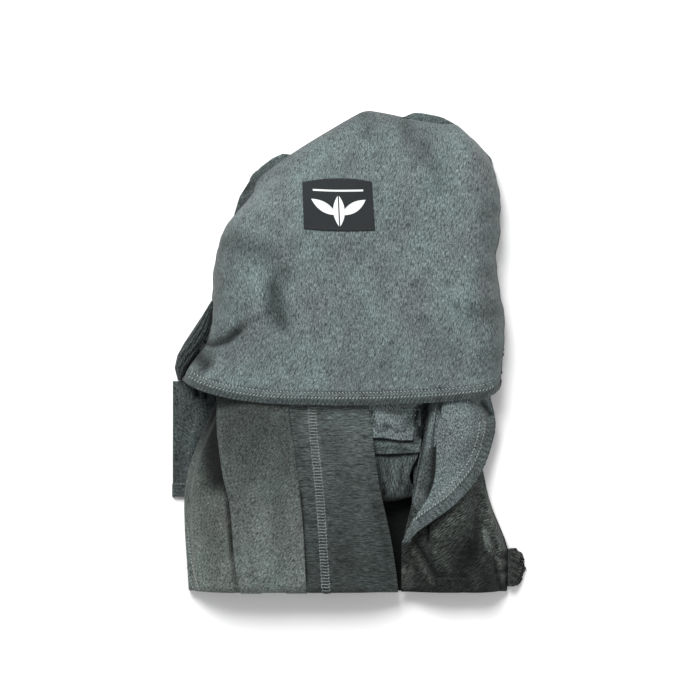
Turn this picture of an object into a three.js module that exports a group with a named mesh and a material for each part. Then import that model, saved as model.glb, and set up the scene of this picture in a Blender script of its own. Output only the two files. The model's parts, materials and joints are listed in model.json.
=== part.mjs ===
// Wrap-style soft baby carrier, sewn from stretch jersey, half pulled out of its storage pouch.
// The pouch is the end of the carrier's sash. Units are millimetres. +Z is up, +Y runs from the
// hanging folds towards the closed end of the pouch, and the origin is at the middle of the base.
import * as THREE from 'three';

// ---- Driving dimensions ----
const BUNDLE_WIDTH = 307; // sash fold on the left to gathered end on the right
const BUNDLE_LENGTH = 415; // end folds of the loops to the closed end of the pouch
const CLOTH = 1.6; // one panel of doubled jersey, lightly pressed
const LAYER_GAP = 0.9; // air between two panels that lie on each other
const TOUCH_GAP = 0.7; // clearance of a trim from the cloth that it is sewn to
const TRIM = 0.6; // thickness of a stitch row or of the woven label

const BUNDLE_TOP = 40; // top of the folded loops above the floor
const EDGE_LIFT = 1.9; // lowest layer above the floor, at the folded edges of the bundle
const LEFT_SLOPE = 40; // how far in from the left edge the loops reach full height
const RIGHT_SLOPE = 30;
const TUCK_END = 100; // how far the loops reach into the pouch, from the origin
const TUCK_SLOPE = 45; // length over which their tucked ends come down
const GAP_DEPTH = 12; // hollow between the seamed loop and the swag
const GAP_HALF_WIDTH = 22;

const POUCH_EASE = 13.9; // height of the pouch's crown above the loops inside it
const POUCH_SIDE_SLOPE = 44;
const POUCH_RIGHT_SLOPE = 24;
const POUCH_TOP_SLOPE = 75;
const POUCH_MOUTH_DROP = 2; // the mouth hangs a little lower than the crown
const HEM_WIDTH = 11; // turned-under hem of the mouth and of the loops
const HEM_CLOTH = 1.2;
const STITCH_WIDTH = 1.6;
const STITCH_GAUGE = 5.6; // distance between the two needle rows of a coverstitch
const SEAM_WIDTH = 7; // flatlock seam that closes a loop
const LABEL_WIDTH = 60;
const LABEL_HEIGHT = 42;
const LABEL_CENTRE = [-9, 122];
const LABEL_STITCH_INSET = 2;

const SASH_WIDTH = 26; // part of the sash that shows left of the loops
const SASH_LENGTH = 100;
const SASH_WIDENING = 1.5; // width at the pouch over the width at its end
const SASH_FOLD_GAP = 1.6; // space inside the folded sash
const SASH_GATHER_HEIGHT = 9;
const STACK_RUN = 3.6; // one run of the hidden folded stack, two panels thick
const STACK_PITCH = 4.3;
const GATHER_HEIGHT = 12;

// Where each piece starts and ends along the bundle, as plan y, and the hidden stacks as plan x.
const MOUTH_Y = -27;
const BAND_TUCK = 40; // how far the band's layers and the pleats reach into the pouch
const RUN_Y = {
  leftRow: [-208, -154],
  band: [-75, BAND_TUCK],
  bandRow: -51,
  lining: [-88, BAND_TUCK],
  inner: [-126, BAND_TUCK],
  pleatInner: [-150, BAND_TUCK],
  pleatOuter: [-140, BAND_TUCK],
  swag: [-160, 105],
  swagHem: [-130, -58],
  swagRows: [-138, -66],
  lower: [-208, -92],
  sashGather: [-22, 32],
  gather: [-204, -172],
  stackTuck: 50,
  baseEnd: -36,
};
const LEFT_STACK_X = [-71, 8];
const RIGHT_STACK_X = [66, 92];
const BASE_RUN_X = [-40, 84]; // the lowest run of the loops bridges the hollow between the stacks
const UNDERLAP = 12; // how far one panel reaches under the panel that covers it
const PLEAT_STEP = 5;
const STACK_INSET = 6; // stacks stop short of the panels' end folds
const GATHER_X = 139.5; // where the gathered end starts

// Layout points are given for this plan size and stretch with the bundle.
const PLAN_WIDTH = 307;
const PLAN_LENGTH = 415;
const planX = (x) => (x * BUNDLE_WIDTH) / PLAN_WIDTH;
const planY = (y) => (y * BUNDLE_LENGTH) / PLAN_LENGTH;
const HALF_WIDTH = BUNDLE_WIDTH / 2;
const HALF_LENGTH = BUNDLE_LENGTH / 2;

// ---- Shape helpers ----
const clamp01 = (t) => Math.min(1, Math.max(0, t));
const rise = (t) => clamp01(t) ** 2 * (3 - 2 * clamp01(t));
// Height of a round shoulder: steep at its foot and level where it ends.
const swell = (t) => clamp01(t) * (2 - clamp01(t));
const mix = (a, b, t) => a + (b - a) * t;

// A smooth curve through a few plan points.
function planCurve(points) {
  const placed = points.map(([x, y]) => new THREE.Vector3(planX(x), planY(y), 0));
  return new THREE.CatmullRomCurve3(placed, false, 'centripetal');
}

// A side edge: x as a smooth function of y, through [x, y] plan points with rising y.
function rail(points) {
  const placed = points.map(([x, y]) => [planX(x), planY(y)]);
  const slope = placed.map((_, i) => {
    const [x0, y0] = placed[Math.max(0, i - 1)];
    const [x1, y1] = placed[Math.min(placed.length - 1, i + 1)];
    return (x1 - x0) / (y1 - y0);
  });
  return (y) => {
    if (y <= placed[0][1]) return placed[0][0];
    if (y >= placed.at(-1)[1]) return placed.at(-1)[0];
    const i = placed.findIndex(([, yNext]) => yNext > y) - 1;
    const [[x0, y0], [x1, y1]] = [placed[i], placed[i + 1]];
    const h = y1 - y0;
    const t = (y - y0) / h;
    const start = (1 + 2 * t) * (1 - t) ** 2 * x0 + t * (1 - t) ** 2 * h * slope[i];
    const end = t * t * (3 - 2 * t) * x1 + t * t * (t - 1) * h * slope[i + 1];
    return start + end;
  };
}

// A closed piece of cloth: a grid from plan(u, v), between two height functions of x and y.
function clothSheet(plan, top, bottom, across, along) {
  const geometry = new THREE.BoxGeometry(1, 1, 1, across, along, 1);
  const position = geometry.attributes.position;
  for (let i = 0; i < position.count; i++) {
    const [x, y] = plan(position.getX(i) + 0.5, position.getY(i) + 0.5);
    const z = position.getZ(i) > 0 ? top(x, y) : bottom(x, y);
    position.setXYZ(i, x, y, z);
  }
  return geometry;
}

// Plan of a panel between two rails, from one y to another.
const between = (left, right, fromY, toY) => (u, v) => {
  const y = mix(fromY, toY, v);
  return [mix(left(y), right(y), u), y];
};

// Plan of a strip of one width that follows a rail, shifted sideways from it.
const strip = (edge, shift, width, fromY, toY) =>
  between((y) => edge(y) + shift - width / 2, (y) => edge(y) + shift + width / 2, fromY, toY);

// ---- Height of the folded loops, and of each layer in them ----
const leftFoot = rail([
  [-140, -208], [-144, -137], [-142, -108], [-136, -75], [-119, -46], [-109, -20], [-95, 40], [-78, 100],
]);
const rightFoot = rail([
  [136, -208], [138, -184], [135, -166], [122, -134], [117, -109], [120, -92], [126, -62], [122, -41],
  [114, 0], [107, 60], [98, 100],
]);
const LAYERS = 6; // panels that lie on each other where the bundle is deepest
const layerPitch = CLOTH + LAYER_GAP;
const bundleEdge = EDGE_LIFT + CLOTH + (LAYERS - 1) * layerPitch;
const gapLine = rail([[42, -208], [43, -150], [48, -100], [54, -45], [54, 130]]);
const tuckEnd = planY(TUCK_END);

function bundleTop(x, y) {
  const fromLeft = swell((x - leftFoot(y)) / LEFT_SLOPE);
  const fromRight = swell((rightFoot(y) - x) / RIGHT_SLOPE);
  const tucked = rise((tuckEnd + TUCK_SLOPE - y) / (2 * TUCK_SLOPE));
  const across = (x - gapLine(y)) / GAP_HALF_WIDTH;
  const hollow = GAP_DEPTH * Math.exp(-across * across);
  return bundleEdge + (BUNDLE_TOP - bundleEdge - hollow) * fromLeft * fromRight * tucked;
}

const layerTop = (layer) => (x, y) => bundleTop(x, y) - layer * layerPitch;
const raised = (surface, by) => (x, y) => surface(x, y) + by;

// Facets short enough to keep within FACET_SAG of the round shoulders, so layers never touch.
const FACET_SAG = 0.24;
const facetStep = 2 * Math.min(LEFT_SLOPE, RIGHT_SLOPE) * Math.sqrt(FACET_SAG / (BUNDLE_TOP - bundleEdge));
function gridOf(plan) {
  const widths = [0, 0.25, 0.5, 0.75, 1].map((v) => plan(1, v)[0] - plan(0, v)[0]);
  const length = plan(0.5, 1)[1] - plan(0.5, 0)[1];
  return [Math.ceil(Math.max(...widths) / facetStep), Math.ceil(length / (1.5 * facetStep))];
}

function panel(layer, plan) {
  return clothSheet(plan, layerTop(layer), raised(layerTop(layer), -CLOTH), ...gridOf(plan));
}

// A flat trim that lies on top of a surface.
function trimOn(surface, plan, grid = gridOf(plan), thickness = TRIM) {
  return clothSheet(plan, raised(surface, TOUCH_GAP + thickness), raised(surface, TOUCH_GAP), ...grid);
}

// ---- Pouch surface ----
const pouchLeft = rail([
  [-146, -25], [-138, -10], [-126, 5], [-120, 20], [-119, 55], [-111, 103], [-99, 120], [-84, 135],
  [-80, 149],
]);
const pouchRight = rail([
  [130, -32], [135, 22], [127, 68], [127, 86], [130, 115], [126, 156], [117, 171],
]);
const pouchArch = planCurve([[-80, 149], [-34, 181], [12, 207.5], [55, 200], [90, 197], [117, 171]]);
const pouchMouth = planCurve([[-146, -25], [-112, -38], [-64, -46], [6, -47], [80, -43], [130, -32]]);
const pouchLeftSide = planCurve([
  [-146, -25], [-126, 5], [-119, 25], [-119, 55], [-111, 103], [-95, 124], [-80, 149],
]);
const pouchRightSide = planCurve([
  [130, -32], [135, 22], [127, 68], [127, 86], [130, 115], [127, 156], [117, 171],
]);

// Coons patch between four plan curves: mouth at v = 0 and closed end at v = 1.
function patchBetween(mouth, arch, left, right) {
  return (u, v) => {
    const [m, a, l, r] = [mouth.getPointAt(u), arch.getPointAt(u), left.getPointAt(v), right.getPointAt(v)];
    const [m0, m1] = [mouth.getPointAt(0), mouth.getPointAt(1)];
    const [a0, a1] = [arch.getPointAt(0), arch.getPointAt(1)];
    const coordinate = (axis) => {
      const sides = mix(m[axis], a[axis], v) + mix(l[axis], r[axis], u);
      return sides - mix(mix(m0[axis], m1[axis], u), mix(a0[axis], a1[axis], u), v);
    };
    return [coordinate('x'), coordinate('y')];
  };
}
const pouchPlan = patchBetween(pouchMouth, pouchArch, pouchLeftSide, pouchRightSide);

// Height of the closed end above the plan: y of the arch at a given x.
const archPoints = pouchArch.getSpacedPoints(40);
function archY(x) {
  const next = archPoints.findIndex((point) => point.x > x);
  if (next < 1) return next === 0 ? archPoints[0].y : archPoints.at(-1).y;
  const [p, q] = [archPoints[next - 1], archPoints[next]];
  return mix(p.y, q.y, (x - p.x) / (q.x - p.x));
}

const pouchEdge = 2 * CLOTH + TOUCH_GAP;
const pouchCrown = BUNDLE_TOP + POUCH_EASE - pouchEdge;
function pouchTop(x, y) {
  const fromLeft = swell((x - pouchLeft(y)) / POUCH_SIDE_SLOPE);
  const fromRight = swell((pouchRight(y) - x) / POUCH_RIGHT_SLOPE);
  const fromArch = swell((archY(x) - y) / POUCH_TOP_SLOPE);
  const drop = POUCH_MOUTH_DROP * rise((planY(20) - y) / 60);
  return pouchEdge + (pouchCrown - drop) * fromLeft * fromRight * fromArch;
}

// Part of the pouch front between two distances from the mouth, and between two of its columns.
const POUCH_COLUMNS = 24;
const POUCH_ROWS = 16;
const POUCH_DEPTH = planY(238); // mouth to closed end, measured on the cloth's plan
const mouthBand = (near, far, fromColumn, toColumn) => (u, v) => {
  const along = mix(fromColumn, toColumn, u) / POUCH_COLUMNS;
  return pouchPlan(along, mix(near, far, v) / POUCH_DEPTH);
};

// ---- Scene graph ----
const carrier = new THREE.Group();
const pouchGroup = new THREE.Group();
const bundleGroup = new THREE.Group();
carrier.add(pouchGroup, bundleGroup);

const jersey = (color) => new THREE.MeshStandardMaterial({ color, roughness: 0.9, metalness: 0 });
const finishes = {
  pouch: jersey(0x6c7978),
  loop: jersey(0x5a6364),
  shade: jersey(0x3c4243),
  thread: jersey(0x8d9896),
  label: new THREE.MeshStandardMaterial({ color: 0x24282a, roughness: 0.7, metalness: 0 }),
};

function add(group, name, finish, geometry) {
  const mesh = new THREE.Mesh(geometry, finishes[finish]);
  mesh.name = name;
  group.add(mesh);
}

// ---- Pouch: back, front, hem, stitching and label ----
const backArch = planCurve([
  [-83, 154], [-68, 168], [-49, 172], [-20, 187], [12, 203], [55, 206.5], [90, 198], [122, 167],
]);
const backMouth = planCurve([[-112, -22], [-60, -30], [20, -30], [126, -26]]);
const backLeftSide = planCurve([[-112, -22], [-117, 20], [-114, 56], [-107, 102], [-93, 134], [-83, 154]]);
const backRightSide = planCurve([[126, -26], [133, 22], [128, 68], [130, 115], [127, 150], [122, 167]]);
const floor = () => 0;
const backPlan = patchBetween(backMouth, backArch, backLeftSide, backRightSide);
add(pouchGroup, 'pouch_back', 'shade', clothSheet(backPlan, () => CLOTH, floor, 14, 12));
const pouchFront = clothSheet(pouchPlan, pouchTop, raised(pouchTop, -CLOTH), POUCH_COLUMNS, POUCH_ROWS);
add(pouchGroup, 'pouch_front', 'pouch', pouchFront);

const hemTop = raised(pouchTop, -CLOTH - TOUCH_GAP);
const hemPlan = mouthBand(0.5, HEM_WIDTH, 3, POUCH_COLUMNS - 2);
const mouthHem = clothSheet(hemPlan, hemTop, raised(hemTop, -HEM_CLOTH), POUCH_COLUMNS - 5, 1);
add(pouchGroup, 'pouch_mouth_hem', 'pouch', mouthHem);
const rows = { mouth_stitching_lower: HEM_WIDTH - STITCH_GAUGE, mouth_stitching_upper: HEM_WIDTH };
for (const [name, offset] of Object.entries(rows)) {
  const plan = mouthBand(offset - STITCH_WIDTH / 2, offset + STITCH_WIDTH / 2, 1, POUCH_COLUMNS - 1);
  add(pouchGroup, name, 'thread', trimOn(pouchTop, plan, [POUCH_COLUMNS - 2, 1]));
}

const [labelX, labelY] = [planX(LABEL_CENTRE[0]), planY(LABEL_CENTRE[1])];
const labelPlan = (width, height, shiftY = 0) => (u, v) => [
  labelX + (u - 0.5) * width,
  labelY + shiftY + (v - 0.5) * height,
];
const LABEL_GRID = [8, 6];
add(pouchGroup, 'woven_label', 'label', trimOn(pouchTop, labelPlan(LABEL_WIDTH, LABEL_HEIGHT), LABEL_GRID));
const labelFace = raised(pouchTop, TOUCH_GAP + TRIM);
const labelRow = LABEL_HEIGHT / 2 - LABEL_STITCH_INSET;
for (const [name, shift] of [['label_stitching_top', labelRow], ['label_stitching_bottom', -labelRow]]) {
  const plan = labelPlan(LABEL_WIDTH - 2 * LABEL_STITCH_INSET, TRIM, shift);
  add(pouchGroup, name, 'thread', trimOn(labelFace, plan, [LABEL_GRID[0], 1], TRIM / 2));
}

// ---- Sash: crumpled beside the pouch, then folded flat on the floor ----
const sashOuter = rail([[-149, -23], [-152, -9], [-141, 10], [-135, 17], [-128, 27], [-122, 36]]);
const sashSpan = RUN_Y.sashGather.map(planY);
const sashPlan = between(sashOuter, (y) => pouchLeft(y) - 1, ...sashSpan);
const sashGatherTop = (x, y) => SASH_GATHER_HEIGHT * (0.75 + 0.25 * rise((y - sashSpan[0]) / 20));
add(pouchGroup, 'sash_gather', 'shade', clothSheet(sashPlan, sashGatherTop, floor, 2, 6));

// U-shaped section: the sash doubles back under itself at its left fold.
function foldedSection(width, gap) {
  const outer = gap / 2 + CLOTH;
  const section = new THREE.Shape();
  section.moveTo(width, 0);
  section.lineTo(width, CLOTH);
  section.lineTo(outer, CLOTH);
  section.absarc(outer, outer, gap / 2, -Math.PI / 2, Math.PI / 2, true);
  section.lineTo(width, 2 * outer - CLOTH);
  section.lineTo(width, 2 * outer);
  section.lineTo(outer, 2 * outer);
  section.absarc(outer, outer, outer, Math.PI / 2, (3 * Math.PI) / 2, false);
  section.closePath();
  return section;
}
const sash = new THREE.ExtrudeGeometry(foldedSection(SASH_WIDTH, SASH_FOLD_GAP), {
  depth: SASH_LENGTH, bevelEnabled: false, curveSegments: 6, steps: 1,
});
sash.rotateX(Math.PI / 2);
// The sash widens from its end towards the pouch.
const sashPoints = sash.attributes.position;
for (let i = 0; i < sashPoints.count; i++) {
  const widening = mix(SASH_WIDENING, 1, -sashPoints.getY(i) / SASH_LENGTH);
  sashPoints.setX(i, sashPoints.getX(i) * widening);
}
sash.computeVertexNormals();
sash.translate(-HALF_WIDTH, planY(MOUTH_Y), 0);
add(pouchGroup, 'sash_end', 'shade', sash);
const sashFace = () => SASH_FOLD_GAP + 2 * CLOTH;
const sashEndY = planY(MOUTH_Y) - SASH_LENGTH;
const sashStitchPlan = (u, v) => [
  -HALF_WIDTH + mix(sashFace() / 2, SASH_WIDTH - 1, u),
  sashEndY + HEM_WIDTH + v * STITCH_WIDTH,
];
add(pouchGroup, 'sash_end_stitching', 'thread', trimOn(sashFace, sashStitchPlan, [1, 1]));

// ---- Loops of the carrier, from the top layer down ----
const endY = -HALF_LENGTH;
const middleLeft = rail([
  [-93, -208], [-98, -180], [-102, -134], [-109, -103], [-114, -46], [-100, 20], [-72, 100],
]);
const middleRight = rail([[-37, -208], [-40, -149], [-47, -84], [-52, -47], [-40, 100]]);
const seamedRight = rail([[39, -208], [33, -160], [24, -109], [20, -80], [16, -45], [10, 100]]);
const seamLine = rail([[-21, -208], [-26, -129], [-33, -47], [-28, 100]]);
const leftShort = (y) => leftFoot(y) + 1;

const middlePlan = between(middleLeft, middleRight, endY, tuckEnd);
add(bundleGroup, 'middle_loop_panel', 'loop', panel(0, middlePlan));
const leftPlan = between(leftShort, (y) => middleLeft(y) + UNDERLAP, endY, tuckEnd);
add(bundleGroup, 'left_loop_panel', 'loop', panel(1, leftPlan));
const seamedPlan = between((y) => middleRight(y) - UNDERLAP, seamedRight, endY, tuckEnd);
add(bundleGroup, 'seamed_loop_panel', 'loop', panel(1, seamedPlan));
const seamPlan = strip(seamLine, 0, SEAM_WIDTH, endY, tuckEnd);
add(bundleGroup, 'flatlock_seam', 'thread', trimOn(layerTop(1), seamPlan));
const leftHemLine = rail([[-132, -208], [-140, -180], [-143, -152]]);
const leftHemPlan = strip(leftHemLine, 2 * STITCH_WIDTH, STITCH_WIDTH, ...RUN_Y.leftRow.map(planY));
add(bundleGroup, 'left_loop_stitching', 'thread', trimOn(layerTop(1), leftHemPlan));

// Support band between the loops, and the two layers that show below it.
const bandRight = rail([[53, -77], [56, -62], [61, -44], [60, 60]]);
const underRight = rail([[46, -126], [54, -103], [60, -88], [62, -45], [60, 60]]);
const bandLeft = (y) => seamedRight(y) - UNDERLAP;
const runOf = (left, right, run) => between(left, right, ...run.map(planY));
add(bundleGroup, 'support_band', 'loop', panel(2, runOf(bandLeft, bandRight, RUN_Y.band)));
const bandRowY = planY(RUN_Y.bandRow);
const bandRowRight = (y) => bandRight(y) - STITCH_WIDTH;
const bandRowLeft = (y) => seamedRight(y) + TOUCH_GAP;
const bandStitch = between(bandRowLeft, bandRowRight, bandRowY, bandRowY + STITCH_WIDTH);
add(bundleGroup, 'support_band_stitching', 'thread', trimOn(layerTop(2), bandStitch));
const underPlan = runOf(bandLeft, underRight, RUN_Y.lining);
add(bundleGroup, 'support_band_lining', 'shade', panel(3, underPlan));
const innerPlan = runOf(bandLeft, (y) => underRight(y) - 1, RUN_Y.inner);
add(bundleGroup, 'inner_loop_panel', 'shade', panel(4, innerPlan));

// Two pleats beside the swag, and the swag itself with its hem.
const pleatLeft = rail([[45, -160], [47, -149], [53, -129], [58, -98], [66, -61], [68, -30], [66, 60]]);
const swagLeft = rail([[50, -162], [55, -146], [68, -123], [73, -103], [74, -68], [79, -45], [78, 60]]);
const swagRight = rail([
  [53, -162], [58, -155], [68, -147], [88, -133], [98, -123], [114, -103], [123, -79], [125.5, -62],
  [121, -41], [113, 0], [107, 60], [98, 110],
]);
const pleatInner = runOf(pleatLeft, (y) => pleatLeft(y) + 2 * PLEAT_STEP, RUN_Y.pleatInner);
add(bundleGroup, 'pleat_inner', 'shade', panel(2, pleatInner));
const pleatShift = (edge) => (y) => edge(y) + PLEAT_STEP;
const pleatOuter = runOf(pleatShift(pleatLeft), pleatShift(swagLeft), RUN_Y.pleatOuter);
add(bundleGroup, 'pleat_outer', 'loop', panel(1, pleatOuter));
const swagPlan = runOf(swagLeft, swagRight, RUN_Y.swag);
add(bundleGroup, 'swag_panel', 'loop', panel(0, swagPlan));
const swagUnder = raised(layerTop(0), -CLOTH - LAYER_GAP);
const swagHemPlan = strip(swagRight, -HEM_WIDTH / 2 - 1, HEM_WIDTH, ...RUN_Y.swagHem.map(planY));
const swagHem = clothSheet(swagHemPlan, swagUnder, raised(swagUnder, -HEM_CLOTH), ...gridOf(swagHemPlan));
add(bundleGroup, 'swag_hem', 'loop', swagHem);
const swagRows = { swag_stitching_outer: -STITCH_GAUGE, swag_stitching_inner: -2 * STITCH_GAUGE };
for (const [name, shift] of Object.entries(swagRows)) {
  const plan = strip(swagRight, shift, STITCH_WIDTH * Math.SQRT2, ...RUN_Y.swagRows.map(planY));
  add(bundleGroup, name, 'thread', trimOn(layerTop(0), plan));
}

// Lower right panel and its gathered end.
const lowerLeft = rail([[44, -208], [45, -90]]);
const lowerRight = rail([[135, -208], [138, -184], [135, -166], [122, -134], [116, -109], [112, -90]]);
add(bundleGroup, 'lower_panel', 'shade', panel(LAYERS - 1, runOf(lowerLeft, lowerRight, RUN_Y.lower)));
const gatherLeft = planX(GATHER_X);
const gatherWidth = HALF_WIDTH - gatherLeft;
const gatherPlan = (u, v) => {
  const bulge = 0.4 + 0.6 * Math.sqrt(Math.sin(Math.PI * clamp01(v)));
  return [gatherLeft + u * gatherWidth * bulge, mix(...RUN_Y.gather.map(planY), v)];
};
const gatherTop = (x) => GATHER_HEIGHT * (1 - 0.4 * ((x - gatherLeft) / gatherWidth) ** 2);
add(bundleGroup, 'gathered_end', 'shade', clothSheet(gatherPlan, gatherTop, floor, 3, 8));

// ---- Hidden folded runs of the loops: one strip of cloth folded back and forth ----
function foldedStack(fromX, toX, fromY, toY, runs) {
  const turn = STACK_PITCH / 2;
  const half = STACK_RUN / 2;
  const arcSteps = 5;
  const side = (offset) => {
    const points = [new THREE.Vector2(fromY, stackBase + half + offset)];
    for (let run = 0; run < runs - 1; run++) {
      const outward = run % 2 === 0 ? 1 : -1;
      const centreY = outward > 0 ? toY - turn : fromY + turn;
      const centreZ = stackBase + half + run * STACK_PITCH + turn;
      const radius = turn - outward * offset;
      for (let step = 0; step <= arcSteps; step++) {
        const angle = -Math.PI / 2 + (Math.PI * step) / arcSteps;
        const reach = outward * radius * Math.cos(angle);
        points.push(new THREE.Vector2(centreY + reach, centreZ + radius * Math.sin(angle)));
      }
    }
    const lastZ = stackBase + half + (runs - 1) * STACK_PITCH + (runs % 2 ? offset : -offset);
    points.push(new THREE.Vector2(runs % 2 ? toY : fromY, lastZ));
    return points;
  };
  const outline = new THREE.Shape([...side(half), ...side(-half).reverse()]);
  const stack = new THREE.ExtrudeGeometry(outline, { depth: toX - fromX, bevelEnabled: false, steps: 1 });
  stack.applyMatrix4(new THREE.Matrix4().makeBasis(
    new THREE.Vector3(0, 1, 0), new THREE.Vector3(0, 0, 1), new THREE.Vector3(1, 0, 0),
  ));
  stack.translate(fromX, 0, 0);
  return stack;
}
// Runs that fit between the pouch back and the lowest panel over a stack.
const stackBase = CLOTH + TOUCH_GAP;
const runsUnder = (layer, hollow) => {
  const room = BUNDLE_TOP - hollow - layer * layerPitch - layerPitch - stackBase - STACK_RUN;
  return 1 + Math.floor(room / STACK_PITCH);
};
const stackEnd = endY + STACK_INSET;
const stackSpan = [stackEnd, planY(RUN_Y.stackTuck)];
const leftRuns = runsUnder(LAYERS - 2, 0);
const rightRuns = runsUnder(LAYERS - 1, GAP_DEPTH / 2);
const leftStack = foldedStack(...LEFT_STACK_X.map(planX), ...stackSpan, leftRuns);
const rightStack = foldedStack(...RIGHT_STACK_X.map(planX), ...stackSpan, rightRuns);
const baseSpan = [stackEnd, planY(RUN_Y.baseEnd)];
const basePlan = between(() => planX(BASE_RUN_X[0]), () => planX(BASE_RUN_X[1]), ...baseSpan);
add(bundleGroup, 'lowest_loop_run', 'shade', clothSheet(basePlan, () => CLOTH, floor, 1, 1));
add(bundleGroup, 'left_folded_stack', 'shade', leftStack);
add(bundleGroup, 'right_folded_stack', 'shade', rightStack);

export default carrier;
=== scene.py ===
import json
import math

import bpy
import numpy as np
from mathutils import Matrix, Vector, noise
from mathutils.bvhtree import BVHTree

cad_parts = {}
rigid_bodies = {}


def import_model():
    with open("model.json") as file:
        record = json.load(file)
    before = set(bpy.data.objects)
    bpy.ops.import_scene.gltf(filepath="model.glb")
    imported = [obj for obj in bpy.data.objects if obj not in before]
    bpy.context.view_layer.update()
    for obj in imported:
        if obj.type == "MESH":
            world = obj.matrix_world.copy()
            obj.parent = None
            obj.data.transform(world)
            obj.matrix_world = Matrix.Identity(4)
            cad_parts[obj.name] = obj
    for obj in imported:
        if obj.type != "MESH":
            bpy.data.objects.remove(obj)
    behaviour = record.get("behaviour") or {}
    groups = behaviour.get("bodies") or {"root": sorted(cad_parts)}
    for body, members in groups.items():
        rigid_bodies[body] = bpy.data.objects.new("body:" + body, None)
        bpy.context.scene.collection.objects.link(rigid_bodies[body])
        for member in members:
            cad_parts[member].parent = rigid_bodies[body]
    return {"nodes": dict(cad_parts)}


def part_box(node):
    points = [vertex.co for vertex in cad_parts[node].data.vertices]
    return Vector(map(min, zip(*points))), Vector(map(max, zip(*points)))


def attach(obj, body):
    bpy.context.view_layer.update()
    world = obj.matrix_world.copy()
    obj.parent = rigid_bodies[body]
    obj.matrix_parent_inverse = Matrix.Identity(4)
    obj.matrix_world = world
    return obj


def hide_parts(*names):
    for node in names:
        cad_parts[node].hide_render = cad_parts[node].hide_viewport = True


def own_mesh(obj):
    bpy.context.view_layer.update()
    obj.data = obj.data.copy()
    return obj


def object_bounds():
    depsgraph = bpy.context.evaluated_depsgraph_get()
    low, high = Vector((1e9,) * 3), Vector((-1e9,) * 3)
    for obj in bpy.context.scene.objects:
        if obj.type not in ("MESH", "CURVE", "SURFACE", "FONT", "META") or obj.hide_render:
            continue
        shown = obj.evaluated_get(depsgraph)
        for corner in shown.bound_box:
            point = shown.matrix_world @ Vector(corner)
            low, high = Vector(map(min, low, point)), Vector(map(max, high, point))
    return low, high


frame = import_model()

cad_bounds = [list(corner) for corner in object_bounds()]

# ---- Stage: floor, camera and studio light ----
# The carrier lies on a pale floor and is seen from straight above. A large soft light stands
# beyond its closed end, to the left, and a weaker one fills in from the lower right.
bundle_low, bundle_high = (Vector(corner) for corner in cad_bounds)
bundle_middle = (bundle_low + bundle_high) / 2
FLOOR_GAP = 0.0004  # the floor lies this far under the cloth, so the two faces never meet

bpy.ops.object.select_all(action="DESELECT")
bpy.ops.mesh.primitive_plane_add(size=6, location=(0, 0, -FLOOR_GAP))
studio_floor = bpy.context.object
studio_floor.name = "studio_floor"
floor_finish = bpy.data.materials.new("pale_floor")
floor_finish.use_nodes = True
floor_shader = floor_finish.node_tree.nodes["Principled BSDF"]
floor_shader.inputs["Base Color"].default_value = (0.93, 0.93, 0.93, 1)
floor_shader.inputs["Roughness"].default_value = 0.9
studio_floor.data.materials.append(floor_finish)

CAMERA_HEIGHT = 2.0
FRAME_WIDTH = 0.5986  # width of the view at the middle of the bundle
SENSOR = 36
camera_data = bpy.data.cameras.new("camera")
camera_data.sensor_width = SENSOR
camera_data.lens = SENSOR * (CAMERA_HEIGHT - bundle_middle.z) / FRAME_WIDTH
camera = bpy.data.objects.new("camera", camera_data)
camera.location = (bundle_middle.x, bundle_middle.y, CAMERA_HEIGHT)
bpy.context.scene.collection.objects.link(camera)
bpy.context.scene.camera = camera


def area_light(name, place, size, power):
    data = bpy.data.lights.new(name, "AREA")
    data.size = size
    data.energy = power
    light = bpy.data.objects.new(name, data)
    light.location = place
    light.rotation_euler = (bundle_middle - Vector(place)).to_track_quat("-Z", "Y").to_euler()
    bpy.context.scene.collection.objects.link(light)


area_light("key_light", (-0.40, 0.95, 1.35), 0.8, 36)
area_light("fill_light", (0.9, -0.6, 1.4), 1.6, 5)
world = bpy.data.worlds.new("studio")
world.use_nodes = True
world.node_tree.nodes["Background"].inputs["Color"].default_value = (1, 1, 1, 1)
world.node_tree.nodes["Background"].inputs["Strength"].default_value = 0.46
bpy.context.scene.world = world
bpy.context.scene.view_settings.view_transform = "Standard"


# ---- Loop panels: left, middle and seamed ----
# Two long loops of doubled stretch jersey hang out of the pouch side by side. Each panel has
# folded sides, and turns under at its lower end. The jersey is knitted from light and dark
# grey-green yarn, whose short flecks run along the wales and show how each panel was turned.
class Wire:
    """A node socket that adds Math nodes when it is used in an expression."""

    def __init__(self, finish, socket):
        self.finish = finish
        self.socket = socket

    def math(self, operation, *others):
        return self.finish.node("ShaderNodeMath", {"operation": operation}, [self, *others])

    def __add__(self, other):
        return self.math("ADD", other)

    __radd__ = __add__

    def __mul__(self, other):
        return self.math("MULTIPLY", other)

    __rmul__ = __mul__

    def __sub__(self, other):
        return self.math("SUBTRACT", other)

    def __rsub__(self, other):
        return self.finish.node("ShaderNodeMath", {"operation": "SUBTRACT"}, [other, self])


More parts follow.
